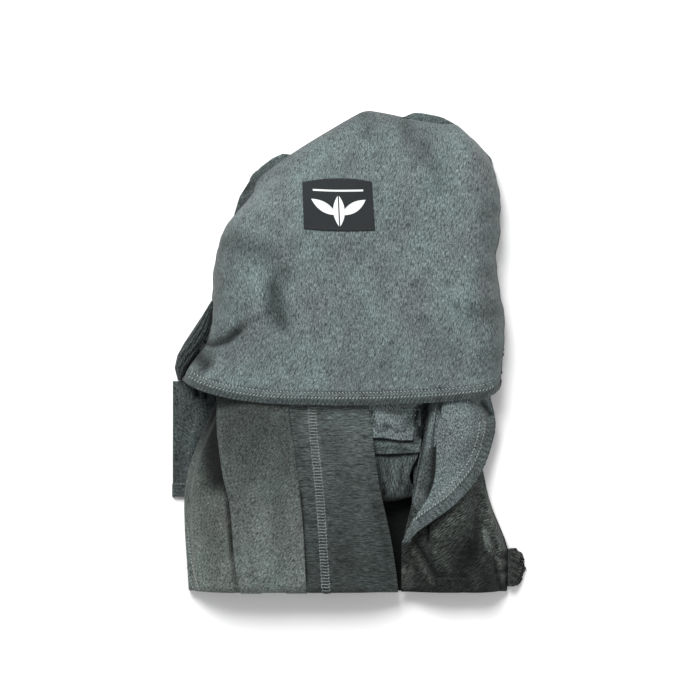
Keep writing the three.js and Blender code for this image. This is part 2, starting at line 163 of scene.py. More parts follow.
class Finish:
    """A material under construction, with one method that makes and links any node."""

    def __init__(self, name):
        self.material = bpy.data.materials.new(name)
        self.material.use_nodes = True
        self.tree = self.material.node_tree
        self.shader = self.tree.nodes["Principled BSDF"]

    def feed(self, socket, value):
        if isinstance(value, Wire):
            self.tree.links.new(value.socket, socket)
        else:
            socket.default_value = value

    def node(self, kind, settings=None, values=(), output=0):
        made = self.tree.nodes.new(kind)
        for key, value in (settings or {}).items():
            if key == "stops":
                ramp = made.color_ramp
                while len(ramp.elements) < len(value):
                    ramp.elements.new(1)
                for element, (place, shade) in zip(ramp.elements, value):
                    element.position = place
                    element.color = (*shade, 1) if len(shade) == 3 else shade
            else:
                setattr(made, key, value)
        pairs = values.items() if isinstance(values, dict) else enumerate(values)
        for key, value in pairs:
            self.feed(made.inputs[key], value)
        return Wire(self, made.outputs[output])

    def set(self, **values):
        for key, value in values.items():
            self.feed(self.shader.inputs[key.replace("_", " ")], value)

    def ramp(self, level, *stops):
        return self.node("ShaderNodeValToRGB", {"stops": stops}, [level])

    def uv(self):
        return self.node("ShaderNodeTexCoord", output="UV")

    def noise(self, place, turn, scale, detail=2.0):
        """Noise on cloth coordinates in metres, turned by an angle and scaled per axis."""
        placed = self.node("ShaderNodeMapping", {}, {"Vector": place, "Rotation": (0, 0, turn)})
        sized = self.node("ShaderNodeMapping", {}, {"Vector": placed, "Scale": (*scale, 1)})
        return self.node("ShaderNodeTexNoise", {}, {"Vector": sized, "Scale": 1.0, "Detail": detail})

    def ribs(self, place, turn, pitch, wander, detail, detail_scale):
        """Soft bands on cloth coordinates, a pitch apart and turned by an angle."""
        placed = self.node("ShaderNodeMapping", {}, {"Vector": place, "Rotation": (0, 0, turn)})
        settings = {"wave_type": "BANDS", "bands_direction": "X", "wave_profile": "SIN"}
        values = {"Vector": placed, "Scale": WAVE / pitch, "Distortion": wander}
        values |= {"Detail": detail, "Detail Scale": detail_scale}
        return self.node("ShaderNodeTexWave", settings, values, output=1)

    def mix(self, share, first, second, blend="MIX"):
        settings = {"data_type": "RGBA", "blend_type": blend}
        return self.node("ShaderNodeMix", settings, {0: share, 6: first, 7: second}, output=2)

    def dye(self, colour, *layers):
        for layer in layers:
            colour = self.mix(1.0, colour, layer, "MULTIPLY")
        return colour


WAVE = 0.314  # metres from band to band of a wave texture of scale 1
FLECK_ACROSS = 1250  # flecks per metre across the wales
WALE = 0.00062  # one knitted rib
COARSE_RIB = 0.0017  # one rib of the panel whose wrong side shows


def jersey(name, tone=1.0, grain=0.0, warmth=0.0, contrast=1.0, streaky=0.0, ribbed=0.0, painted_shade_along_y=None):
    """Heather jersey. Tone and contrast scale its yarns, grain turns its wales, streaky draws its flecks
    out, ribbed shows its coarse ribs, and the last argument lists painted shade along y: how dark the
    colour is painted at each y."""
    finish = Finish(name)
    place = finish.uv()
    drawn = 430 - 330 * streaky
    fleck = finish.noise(place, grain, (FLECK_ACROSS, drawn), 2.0)
    pepper = finish.noise(place, grain, (FLECK_ACROSS * 1.6, drawn * 2.4), 1.0)
    streak = finish.noise(place, grain, (FLECK_ACROSS * 0.5, drawn * 0.34), 2.0)
    cloud = finish.noise(place, grain, (26, 16), 3.0)
    blotch = finish.noise(place, grain, (90, 60), 2.0)
    red, blue = 0.860 + 0.12 * warmth, 1.06 - 0.14 * warmth

    def shade(level):
        return (red * level * tone, 1.07 * level * tone, blue * level * tone)

    middle = 0.158
    yarn = finish.ramp(
        0.6 * fleck + 0.4 * pepper,
        (0.38, shade(middle * (1 - 0.90 * contrast))),
        (0.46, shade(middle * (1 - 0.32 * contrast))),
        (0.54, shade(middle * (1 + 0.16 * contrast))),
        (0.64, shade(middle * (1 + 1.10 * contrast))),
    )
    deep = 0.60 - 0.12 * streaky
    dark = finish.ramp(streak, (0.52, (1, 1, 1)), (0.68, (deep,) * 3))
    uneven = finish.ramp(cloud, (0.36, (0.92, 0.87, 0.885)), (0.64, (1.08, 1.13, 1.12)))
    worn = finish.ramp(blotch, (0.36, (0.90,) * 3), (0.64, (1.10,) * 3))
    # Painted shade: the depth attribute, painted darker in folds, hollows and hems, darkens the colour.
    depth = finish.node("ShaderNodeAttribute", {"attribute_name": "depth"})
    colour = finish.dye(yarn, dark, uneven, worn, depth)
    if ribbed:
        coarse = finish.ribs(place, grain, COARSE_RIB, 5.0, 2.0, 0.8)
        ribbing = finish.ramp(coarse, (0.25, (1 - ribbed,) * 3), (0.75, (1 + ribbed,) * 3))
        colour = finish.dye(colour, ribbing)
    # Painted shade: a ramp along the object's y darkens the colour.
    if painted_shade_along_y:
        spot = finish.node("ShaderNodeTexCoord", output="Object")
        y = finish.node("ShaderNodeSeparateXYZ", {}, [spot], output=1)
        start, end = painted_shade_along_y[0][0], painted_shade_along_y[-1][0]
        share = (y - start) * (1 / (end - start))
        levels = [((at - start) / (end - start), (level,) * 3) for at, level in painted_shade_along_y]
        colour = finish.dye(colour, finish.ramp(share, *levels))
    wales = finish.ribs(place, grain, WALE, 1.4, 1.0, 0.6)
    height = 0.5 * wales + 0.6 * fleck + 0.3 * pepper
    bump = finish.node("ShaderNodeBump", {}, {"Strength": 0.25, "Distance": 0.0003, "Height": height})
    finish.set(Base_Color=colour, Normal=bump, Roughness=0.92 - 0.12 * fleck)
    finish.set(Sheen_Weight=0.10, Sheen_Roughness=0.45, Specular_IOR_Level=0.15)
    return finish.material


# A panel is laid out as rows of points on its solid, so it keeps that solid's outline. Its
# folds, rolled edges and creases are worked into the points before it is given its thickness.
CLOTH = 0.0008
STEP = 0.0022  # spacing of the points


def smooth(t):
    t = np.clip(t, 0, 1)
    return t * t * (3 - 2 * t)


def resample(points, count):
    """A number of evenly spaced points along a polyline, or points at given shares of it."""
    points = np.asarray(points, float)
    run = np.concatenate([[0], np.cumsum(np.linalg.norm(np.diff(points, axis=0), axis=1))])
    at = run[-1] * (np.linspace(0, 1, count) if isinstance(count, int) else count)
    return np.stack([np.interp(at, run, points[:, k]) for k in range(points.shape[1])], axis=1)


def soften(grid, times):
    """Averages each point's height with its neighbours', keeping the outline."""
    z = grid[..., 2].copy()
    for _ in range(times):
        wide = np.pad(z, ((1, 1), (0, 0)), mode="edge")
        z = 0.25 * wide[:-2] + 0.5 * wide[1:-1] + 0.25 * wide[2:]
        wide = np.pad(z, ((0, 0), (1, 1)), mode="edge")
        z = 0.25 * wide[:, :-2] + 0.5 * wide[:, 1:-1] + 0.25 * wide[:, 2:]
    grid[..., 2] = z
    return grid


def solid_rows(node, step=STEP):
    """The upper face of a panel's solid as an even grid, from its low-y end up.

    A point is x, y, z and depth: painted shade, the share of its colour the cloth keeps there, painted
    darker in the bottom of a fold, where little light falls."""
    tops = {}
    for vertex in frame["nodes"][node].data.vertices:
        key = (round(vertex.co.y, 4), round(vertex.co.x, 4))
        tops[key] = max(tops.get(key, -1), vertex.co.z)
    rows = {}
    for (y, x), z in sorted(tops.items()):
        rows.setdefault(y, []).append((x, y, z))
    low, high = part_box(node)
    across = max(6, int((high.x - low.x) / step))
    along = max(6, int((high.y - low.y) / step))
    even = np.array([resample_x(row, across) for _, row in sorted(rows.items()) if len(row) > 1])
    ys = even[:, 0, 1]
    at = np.linspace(ys[0], ys[-1], along)
    columns = [[np.interp(at, ys, even[:, i, k]) for k in range(3)] for i in range(across)]
    return with_painted_shade(soften(np.array(columns).transpose(2, 0, 1).copy(), 6))


def resample_x(row, count):
    row = np.array(row)
    at = np.linspace(row[0, 0], row[-1, 0], count)
    return np.stack([at, np.full(count, row[0, 1]), np.interp(at, row[:, 0], row[:, 2])], axis=1)


def add_noise(grid, size, height, seed, stretch=1.0):
    """Soft random unevenness, size metres across and height metres high."""
    for row in grid:
        for point in row:
            at = Vector((point[0] / size, point[1] / (size * stretch), seed))
            point[2] += height * noise.noise(at)
    return grid


STROKE_POINTS = 40
FADE_OUT = 0.22  # share of a fold's length over which it fades at each end


def fold(grid, path, width, height, shade, lean=1.0):
    """Adds a ridge along a path, or a valley if its height is negative, and paints shade along it. A
    negative shade paints a highlight instead, and a lean over 1 makes the right side of its path wider."""
    path = resample(path, STROKE_POINTS)
    tangent = np.gradient(path, axis=0)
    tangent /= np.linalg.norm(tangent, axis=1, keepdims=True)
    offset = grid[:, :, None, :2] - path[None, None]
    nearest = np.argmin((offset**2).sum(axis=3), axis=2)
    gap = np.take_along_axis(offset, nearest[..., None, None], axis=2)[:, :, 0]
    direction = tangent[nearest]
    side = direction[..., 0] * gap[..., 1] - direction[..., 1] * gap[..., 0]
    beyond = (direction * gap).sum(axis=2)
    along = nearest / (STROKE_POINTS - 1)
    widths = np.where(side > 0, width / lean, width * lean)
    across = np.exp(-((side / widths) ** 2) - (beyond / width) ** 2)
    strength = across * smooth(along / FADE_OUT + 0.15) * smooth((1 - along) / FADE_OUT + 0.15)
    grid[..., 2] += height * strength
    # Painted shade, or painted highlight where shade is negative.
    grid[..., 3] *= 1 - shade * strength
    return grid


def work_folds(grid, folds):
    """Works folds into a grid, each a path, a width and a height in mm, a painted shade and a lean."""
    for path, width, height, shade, *lean in folds:
        metres = [(0.001 * x, 0.001 * y) for x, y in path]
        grid = fold(grid, metres, 0.001 * width, 0.001 * height, shade, *lean)
    return grid


def roll(grid, side, radius, under, steps=6, tail=5):
    """Turns one edge of the grid under: a half round of the radius, then a flat return."""
    if side in ("left", "right"):
        grid = np.swapaxes(grid, 0, 1)
    if side in ("right", "top"):
        grid = grid[::-1]
    # The painted shade channel is set aside, and the turned rows take the edge row's painted shade.
    grid, depth = grid[..., :3], grid[..., 3:]
    edge = grid[0]
    inward = grid[3] - edge
    inward[:, 2] = 0
    inward /= np.maximum(np.linalg.norm(inward, axis=1, keepdims=True), 1e-9)
    radius = np.broadcast_to(np.asarray(radius, float), (len(edge),))[:, None]
    reach = np.linalg.norm((grid[:, :, :2] - edge[None, :, :2]), axis=2)[..., None]
    shift = inward[None] * np.clip(radius[None] * 2 - reach, 0, None) * 0.5
    body = grid + shift
    centre = edge + inward * radius - np.array([0, 0, 1]) * radius
    turned = []
    for angle in np.linspace(math.pi / 2, -math.pi / 2, steps + 1)[1:]:
        turned.append(centre + radius * (np.array([0, 0, 1]) * math.sin(angle) - inward * math.cos(angle)))
    for share in np.linspace(0, 1, tail + 1)[1:]:
        turned.append(turned[steps - 1] + inward * under * share)
    grid = np.concatenate([np.array(turned[::-1]), body], axis=0)
    depth = np.concatenate([np.repeat(depth[:1], len(turned), axis=0), depth], axis=0)
    grid = np.concatenate([grid, depth], axis=2)
    if side in ("right", "top"):
        grid = grid[::-1]
    if side in ("left", "right"):
        grid = np.swapaxes(grid, 0, 1)
    return grid


# Adds the painted shade channel to a grid, at 1 everywhere: no painted shade yet.
def with_painted_shade(grid):
    return np.concatenate([grid, np.ones((*grid.shape[:2], 1))], axis=2)


def grid_area(grid):
    a, b, c, d = grid[:-1, :-1], grid[1:, :-1], grid[1:, 1:], grid[:-1, 1:]
    first = np.linalg.norm(np.cross(b - a, c - a), axis=-1)
    second = np.linalg.norm(np.cross(c - a, d - a), axis=-1)
    return float((first + second).sum() / 2)


def run_along(grid, axis):
    """Distance along each row (axis 1) or column (axis 0) of a grid, measured on the cloth."""
    steps = np.linalg.norm(np.diff(grid, axis=axis), axis=2)
    return np.insert(np.cumsum(steps, axis=axis), 0, 0, axis=axis)


def sheet_object(name, grid, finish):
    """A mesh of the grid with cloth coordinates in metres as its UV map, thickened downwards."""
    rows, columns, _ = grid.shape
    # Painted shade per point, stored in the colour attribute named depth.
    painted_shades = np.repeat(grid[..., 3].reshape(-1, 1), 4, axis=1)
    painted_shades[:, 3] = 1
    grid = grid[..., :3].copy()
    grid[..., 2] = np.maximum(grid[..., 2], CLOTH + 0.0001)
    index = np.arange(rows * columns).reshape(rows, columns)
    quads = np.stack([index[:-1, :-1], index[:-1, 1:], index[1:, 1:], index[1:, :-1]], axis=-1)
    mesh = bpy.data.meshes.new(name)
    mesh.from_pydata(grid.reshape(-1, 3).tolist(), [], quads.reshape(-1, 4).tolist())
    middle = columns // 2
    u = run_along(grid, 1)
    u -= u[:, middle : middle + 1]
    v = run_along(grid, 0)
    painted_shade_layer = mesh.color_attributes.new(name="depth", type="FLOAT_COLOR", domain="POINT")
    painted_shade_layer.data.foreach_set("color", painted_shades.ravel())
    layer = mesh.uv_layers.new(name="cloth")
    flat = np.stack([u, v], axis=-1).reshape(-1, 2)
    loops = np.zeros(len(mesh.loops), int)
    mesh.loops.foreach_get("vertex_index", loops)
    layer.data.foreach_set("uv", flat[loops].ravel())
    mesh.polygons.foreach_set("use_smooth", [True] * len(mesh.polygons))
    mesh.materials.append(finish)
    piece = bpy.data.objects.new(name, mesh)
    bpy.context.scene.collection.objects.link(piece)
    shell = piece.modifiers.new("thickness", "SOLIDIFY")
    shell.thickness = CLOTH
    shell.offset = -1
    bpy.ops.object.select_all(action="DESELECT")
    piece.select_set(True)
    bpy.context.view_layer.objects.active = piece
    bpy.ops.object.modifier_apply(modifier=shell.name)
    return piece


def sewn_sheet(name, grid, finish, body, nodes):
    """Makes a sheet of cloth on the body it rides on, hides the parts it replaces, and works out its size,
    which nothing reads.

    The size is read off the finished grid. It is not a cutting size settled beforehand, so
    it can't show whether the cloth was stretched."""
    piece = sheet_object(name, grid, finish)
    grid = grid[..., :3]
    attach(piece, body)
    if nodes:
        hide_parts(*nodes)
    width, length = float(run_along(grid, 1).max()), float(run_along(grid, 0).max())
    area = min(grid_area(grid), width * length)
    return piece


EDGE_ROLL = 0.0010  # radius of a folded side
END_ROLL = 0.0080  # radius of the turn at the lower end of the top layer
LAYER_PITCH = 0.0025
# Painted shade: the left and middle panels are painted darker towards the pouch's mouth, the seamed panel
# towards its lower end.
jersey_left = jersey(
    "jersey_left", grain=0.6, warmth=0.55, contrast=0.80, streaky=0.15,
    painted_shade_along_y=[(-0.208, 0.72), (-0.150, 0.70), (-0.105, 0.46), (-0.045, 0.34)],
)
jersey_middle = jersey(
    "jersey_middle", grain=0.75, warmth=0.4, contrast=0.80, streaky=0.25,
    painted_shade_along_y=[(-0.208, 0.80), (-0.150, 0.70), (-0.105, 0.41), (-0.045, 0.29)],
)
jersey_seamed = jersey(
    "jersey_seamed", grain=math.pi / 2, warmth=0.2, streaky=0.85, contrast=0.72,
    painted_shade_along_y=[(-0.208, 0.25), (-0.150, 0.29), (-0.045, 0.50)],
)

left_grid = solid_rows("left_loop_panel")
left_grid = add_noise(left_grid, 0.05, 0.0012, 3.1, 2.5)
# Folds of the left panel, with painted shade in their valleys; the broad one of height 0 only paints shade
# beside the middle panel's edge.
LEFT_FOLDS = [
    # path, width, height, painted shade, lean
    ([(-114, -46), (-115, -75), (-109, -105), (-104, -128)], 11.6, -6.6, 0.84, 1.5),
    ([(-117, -40), (-120, -85), (-114, -124)], 9, 0, 0.58),
    ([(-112, -36), (-120, -70), (-131, -104), (-138, -130)], 5, 2.6, -0.12),
    ([(-105, -112), (-102, -150), (-99.5, -182)], 2, -3.4, 0.80),
    ([(-101, -150), (-98.5, -185), (-95, -216)], 2, -2, 0.42),
    ([(-118, -135), (-112, -160), (-107, -185)], 6, -0.8, 0.25),
    ([(-137, -140), (-136, -170), (-130, -207)], 6, 1.6, -0.10),
    ([(-128, -138), (-122, -170), (-114, -207)], 7, -1.6, 0.16),
    ([(-112, -135), (-110, -170), (-106, -207)], 6, 1.2, -0.08),
]
outer_side = np.linspace(1, 0, left_grid.shape[1])[None]
left_grid[..., 0] += 0.0062 * outer_side * np.exp(-(((left_grid[..., 1] + 0.072) / 0.024) ** 2))
left_grid = work_folds(left_grid, LEFT_FOLDS)
left_grid = roll(left_grid, "left", 0.0040, 0.018)
left_grid = roll(left_grid, "bottom", END_ROLL - LAYER_PITCH, 0.022)
left_loop = sewn_sheet(
    "left_loop_panel_cloth", left_grid, jersey_left, "carrier",
    ["left_loop_panel"],
)

seamed_grid = solid_rows("seamed_loop_panel")
seamed_grid = add_noise(seamed_grid, 0.06, 0.0014, 7.7, 2.0)
# Painted shade in the seamed panel's valleys, painted highlight on its ridge.
SEAMED_FOLDS = [
    ([(-43, -110), (-41, -150), (-38, -207)], 2.2, -3.4, 0.70),
    ([(-46, -48), (-44, -80), (-41, -110)], 3.4, -1.6, 0.30),
    ([(2, -60), (8, -120), (14, -207)], 11, 1.8, -0.06),
    ([(-10, -60), (-4, -130), (-2, -207)], 8, -1.4, 0.14),
    ([(24, -120), (29, -160), (34, -207)], 5, -1.4, 0.20),
]
seamed_grid = work_folds(seamed_grid, SEAMED_FOLDS)
right_share = np.linspace(0, 1, seamed_grid.shape[1])[None]
seamed_grid[..., 0] += 0.0026 * right_share**2 * smooth((-0.110 - seamed_grid[..., 1]) / 0.08)
seamed_grid = roll(seamed_grid, "right", EDGE_ROLL, 0.016)
seamed_grid = roll(seamed_grid, "bottom", END_ROLL - LAYER_PITCH, 0.022)
seamed_grid[:8, :, 0] -= 0.0045 * np.linspace(0, 1, seamed_grid.shape[1])  # the turned end is narrower
seamed_loop = sewn_sheet(
    "seamed_loop_panel_cloth", seamed_grid, jersey_seamed, "carrier",
    ["seamed_loop_panel"],
)

middle_grid = solid_rows("middle_loop_panel")
middle_grid = add_noise(middle_grid, 0.045, 0.0018, 1.4, 2.6)
# Painted shade in the middle panel's valleys, painted highlight on its ridges.
MIDDLE_FOLDS = [
    ([(-113.5, -40), (-110, -80), (-106, -115)], 2.2, 1.2, -0.22),
    ([(-84, -46), (-82, -90), (-80, -125)], 14, -1.4, 0.12),
    ([(-62, -110), (-60, -150), (-58, -207)], 6, -1.4, 0.20),
    ([(-74, -125), (-74, -160), (-70, -207)], 9, 2.4, -0.10),
    ([(-92, -130), (-90, -165), (-86, -207)], 5.5, -2, 0.18),
    ([(-53, -46), (-50, -80), (-47, -100)], 3, 1.4, -0.16),
    ([(-58, -46), (-56, -80), (-52, -110)], 2.6, -1.2, 0.25),
]
middle_grid = work_folds(middle_grid, MIDDLE_FOLDS)
middle_grid = roll(middle_grid, "left", EDGE_ROLL, 0.016)
middle_grid = roll(middle_grid, "right", EDGE_ROLL, 0.016)
middle_grid = roll(middle_grid, "bottom", END_ROLL, 0.024)
sewn_sheet(
    "middle_loop_panel_cloth", middle_grid, jersey_middle, "carrier",
    ["middle_loop_panel"],
)

# ---- Support band, its lining and the inner loop panel ----
# A short band joins the two loops. It lies in the hollow beside the seamed loop, with its
# lining and an inner panel showing one below the other.
jersey_band = jersey("jersey_band", tone=1.12, grain=0.15)
jersey_lining = jersey("jersey_lining", tone=0.60, grain=0.9, streaky=0.5)
jersey_inner = jersey("jersey_inner", tone=0.46, grain=0.05, streaky=0.7)
band_sheets = {
    "support_band": (jersey_band, 11.0, 0.0009),
    "support_band_lining": (jersey_lining, 5.0, 0.0009),
    "inner_loop_panel": (jersey_inner, 9.0, 0.0014),
}
# Painted shade, near black at the hollow's right side and along the gaps between the band, its lining and
# the inner panel; painted highlight on their ridges.
BAND_FOLDS = {
    "support_band": [
        ([(18, -60), (30, -58), (48, -62)], 7, 2.2, -0.14),
        ([(18, -72), (36, -71), (56, -75)], 3, -2.2, 0.50),
        ([(61, -44), (57, -60), (59, -77)], 4, -3, 0.97),
        ([(52, -56), (50, -66), (52, -77)], 3, -1.6, 0.45),
        ([(28, -64), (34, -67), (36, -72)], 2.2, -2, 0.55),
        ([(17, -48), (20, -60), (21, -72)], 2.6, -2, 0.55),
    ],
    "support_band_lining": [
        ([(22, -86), (38, -86), (56, -88)], 2.4, -1.6, 0.45),
        ([(14, -76.5), (36, -77), (62, -80)], 1.8, -2, 0.92),
        ([(60, -44), (60, -66), (61, -80)], 4.4, -3, 0.97),
        ([(19, -78), (21, -84), (22, -89)], 3, -1, 0.55),
    ],
    "inner_loop_panel": [
        ([(16, -89.5), (36, -90.5), (60, -89.5)], 2.2, -2, 0.90),
        ([(23, -94), (26, -112), (31, -128)], 3.5, -3, 0.55),
        ([(58, -94), (54, -110), (50, -128)], 3.5, -3, 0.65),
        ([(40, -98), (40, -112), (40, -122)], 4.5, 2.6, -0.15),
        ([(16, -127.5), (38, -130), (64, -127.5)], 5.6, -2, 0.95),
        ([(32, -98), (33, -110), (36, -120)], 1.6, -1.2, 0.35),
        ([(46, -98), (45, -110), (43, -120)], 1.6, -1.2, 0.35),
    ],
}
band_pieces = {}
for node, (finish, seed, height) in band_sheets.items():
    grid = add_noise(solid_rows(node, 0.0013), 0.018, height, seed)
    u = np.linspace(0, 1, grid.shape[1])[None]
    low_end = smooth((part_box(node)[0].y + 0.020 - grid[..., 1]) / 0.020)
    hang = {
        "support_band": 0.0026 * smooth((u - 0.4) / 0.4),
        "support_band_lining": 0.0012 * np.sin(math.pi * u),
        "inner_loop_panel": 0.0040 * np.sin(math.pi * u),
    }
    grid[..., 1] -= low_end * hang[node]
    if node == "inner_loop_panel":
        grid[..., 0] += 0.0100 * u**2 * low_end
    grid = work_folds(grid, BAND_FOLDS[node])
    grid = roll(grid, "bottom", EDGE_ROLL, 0.010)
    below = "left_folded_stack" if node == "inner_loop_panel" else "inner_loop_panel"
    band_pieces[node] = sewn_sheet(
        node + "_cloth", grid, finish, "carrier", [node]
    )

# ---- Pleats and swag of the second loop ----
# The second loop is pleated where it enters the pouch and swings down to a point on the
# right. Its outer edge is a turned hem with two needle rows.
jersey_swag = jersey("jersey_swag", tone=0.86, grain=0.25)
jersey_pleat = jersey("jersey_pleat", tone=0.62, grain=0.1)
# Painted shade in the pleats' creases, near black beside the swag's edge, and a painted highlight on the
# light strip between them.
PLEAT_FOLDS = [
    ([(68, -42), (63.7, -75), (59, -100), (53, -130)], 1.4, -2.4, 0.82),
    ([(73.8, -42), (67.5, -75), (65, -94)], 2, 1.2, -0.55),
    ([(77.5, -42), (73, -80), (70.6, -112), (63, -134)], 2.6, -3, 0.93),
    ([(69, -82), (67, -105), (61, -124)], 5, -1, 0.50),
    ([(61, -100), (57.5, -118), (53, -138)], 1.3, 1, -0.50),
]
for node in ("pleat_inner", "pleat_outer"):
    grid = add_noise(solid_rows(node, 0.0008), 0.03, 0.0008, 4.4, 3.0)
    grid = work_folds(grid, PLEAT_FOLDS)
    grid[..., 0] += 0.0080 * smooth((-0.128 - grid[..., 1]) / 0.014)  # their ends run under the swag
    grid = roll(grid, "left", EDGE_ROLL, 0.006)
    sewn_sheet(
        node + "_cloth", grid, jersey_pleat, "carrier",
        [node],
    )

swag_grid = solid_rows("swag_panel", 0.0012)
tip = smooth((-0.128 - swag_grid[..., 1]) / 0.032)
swag_grid[..., 0] -= 0.0055 * tip
swag_grid[..., 1] -= 0.0045 * tip
swag_grid = add_noise(swag_grid, 0.035, 0.0016, 9.2)
# Painted shade in the swag's valleys and in the dark notch at its upper right, painted highlight on its
# ridges.
SWAG_FOLDS = [
    ([(86, -46), (83, -80), (79, -112)], 5, 2.4, -0.08),
    ([(118, -80), (102, -85), (88, -92)], 7, -1.4, 0.18),
    ([(66, -118), (58, -140), (51, -158)], 2.6, 1.4, -0.12),
    ([(111, -42), (116.5, -50), (122.5, -58)], 3.4, -4, 0.80),
    ([(96, -50), (98, -72), (90, -96)], 10, 2, -0.10),
]
swag_grid = work_folds(swag_grid, SWAG_FOLDS)
SWAG_ROWS = (0.0100, 0.0150)
SWAG_TUCK = 0.0042
swag_edge_line = swag_grid[:, -1, :2]
swag_gap = np.linalg.norm(swag_grid[:, :, None, :2] - swag_edge_line[None, None], axis=3)
from_swag_edge = swag_gap.min(axis=2)
swag_place = run_along(swag_edge_line[:, None], 0)[:, 0][swag_gap.argmin(axis=2)]
in_swag_hem = smooth((SWAG_ROWS[0] - from_swag_edge) / 0.0015) * smooth((-0.052 - swag_grid[..., 1]) / 0.01)
swag_tucks = np.sin(2 * math.pi * (swag_place + 0.002 * np.sin(swag_place / 0.011)) / SWAG_TUCK)
swag_grid[..., 2] += 0.0004 * swag_tucks * in_swag_hem - 0.0012 * in_swag_hem
# Painted shade on the hem band, with painted light and shade across its tucks.
swag_grid[..., 3] *= 1 - (0.26 + 0.26 * swag_tucks) * in_swag_hem
swag_grid = roll(swag_grid, "left", EDGE_ROLL, 0.006)
swag_grid = roll(swag_grid, "right", EDGE_ROLL, 0.004)
swag = sewn_sheet(
    "swag_panel_cloth", swag_grid, jersey_swag, "carrier",
    ["swag_panel"],
)
sewn_sheet(
    "swag_hem_cloth", solid_rows("swag_hem"), jersey_swag, "carrier",
    ["swag_hem"],
)

# ---- Lower right panel ----
# The far side of the second loop lies lowest and wrong side up, so its coarse ribs show, on
# the slant. It is drawn together towards its right side.
# Painted shade darkens its jersey towards the panel's lower end, nearly to black.
jersey_lower = jersey(
    "jersey_lower", grain=0.96, warmth=0.6, streaky=0.8, contrast=1.15, ribbed=0.34,
    painted_shade_along_y=[(-0.208, 0.075), (-0.165, 0.15), (-0.120, 0.36), (-0.092, 0.37)],
)
lower_grid = add_noise(solid_rows("lower_panel", 0.0012), 0.03, 0.0014, 2.2)
inner_side = np.linspace(1, 0, lower_grid.shape[1])[None] ** 2
drawn_back = np.interp(lower_grid[..., 1], [-0.167, -0.137, -0.088], [0, 0.0076, 0.0170])
lower_grid[..., 0] += drawn_back * inner_side
# Folds whose shade is negative paint highlights on the ridges of the dark cloth; the others paint shade in
# its creases.
LOWER_FOLDS = [
    ([(117, -112), (122, -140), (130, -165), (131, -205)], 3.6, 3, -1.00),
    ([(106, -125), (115, -150), (120, -180)], 2.8, 1.6, -0.90),
    ([(113, -150), (124, -175), (134, -206)], 3, 1.4, -1.10),
    ([(45.5, -184), (47.5, -197), (50, -207)], 7, 0, -2.20),
    ([(48, -163), (60, -182), (74, -207)], 3, 1.2, -1.10),
    ([(55, -162), (67, -181), (82, -207)], 1.8, -2, 0.70),
    ([(70, -165), (84, -186), (94, -207)], 6, 1, -0.90),
    ([(96, -185), (106, -196), (112, -207)], 4, 1.4, -1.00),
    ([(108.5, -116), (110, -150), (105, -174), (95, -212)], 6.6, -4, 0.62),
    ([(122.5, -174), (126, -190), (129.5, -212)], 2, -2, 0.60),
    ([(96, -122), (84, -145), (66, -165)], 12, 3.6, -0.35),
    ([(110, -165), (92, -185), (80, -206)], 11, -3, 0.45),
    ([(66.8, -148), (67.2, -156), (66.8, -165)], 1.4, -3.4, 0.95),
    ([(138, -176), (130, -170), (122, -156), (117, -140)], 2.2, 1.8, -0.45),
    ([(138, -186), (129, -184), (120, -172), (113, -156)], 2.2, 1.8, -0.45),
    ([(138, -194), (130, -197), (122, -192), (115, -180)], 2.2, 1.6, -0.40),
    ([(138, -182), (127, -177), (120, -169)], 1.8, -1.8, 0.55),
    ([(138, -190), (128, -191), (120, -191)], 1.8, -1.8, 0.55),
]
lower_grid = work_folds(lower_grid, LOWER_FOLDS)
lower_grid = roll(lower_grid, "right", EDGE_ROLL, 0.012)
lower_grid = roll(lower_grid, "bottom", EDGE_ROLL, 0.012)
sewn_sheet(
    "lower_panel_cloth", lower_grid, jersey_lower, "carrier",
    ["lower_panel"],
)

# ---- Hidden runs of the loops ----
# Under the panels the loops run back and forth in flat folds, from their lower ends into the
# pouch. The lower runs lie wider, so the heap looks full from its sides and ends.
jersey_runs = jersey("jersey_runs", tone=0.40, grain=0.1)


def rail_of(grid, column):
    """x of a grid's side as a function of y."""
    ys, xs = grid[:, column, 1], grid[:, column, 0]
    order = np.argsort(ys)
    return lambda y: np.interp(y, ys[order], xs[order])


def folded_runs(name, node, left, right, top, count, seed, inset):
    """One long strip folded back and forth between the two ends of a stack's solid."""
    low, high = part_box(node)
    pitch = (top - low.z) / count
    radius = pitch / 2
    path = []
    for run in range(count):
        z = low.z + CLOTH + run * pitch
        wander = 0.003 * math.sin(seed + 2.3 * run)
        start, end = low.y + inset + wander, high.y - 0.004 * (run % 3)
        ys = np.linspace(start, end, 60)
        if run % 2:
            ys = ys[::-1]
        path += [(y, z) for y in ys]
        if run < count - 1:
            outward = -1 if run % 2 else 1
            for angle in np.linspace(-math.pi / 2, math.pi / 2, 7)[1:-1]:
                out, up = radius * math.cos(angle), radius * (1 + math.sin(angle))
                path.append((ys[-1] + outward * out, z + up))
    rows = []
    for y, z in path:
        xs = np.linspace(left(y, z), right(y, z), 40)
        sag = 0.0005 * np.array([noise.noise(Vector((x / 0.02, y / 0.03, seed + z / 0.004))) for x in xs])
        rows.append(np.stack([xs, np.full(40, y), z + sag], axis=1))
    grid = with_painted_shade(np.array(rows))
    return sewn_sheet(name, grid, jersey_runs, "carrier", [node])


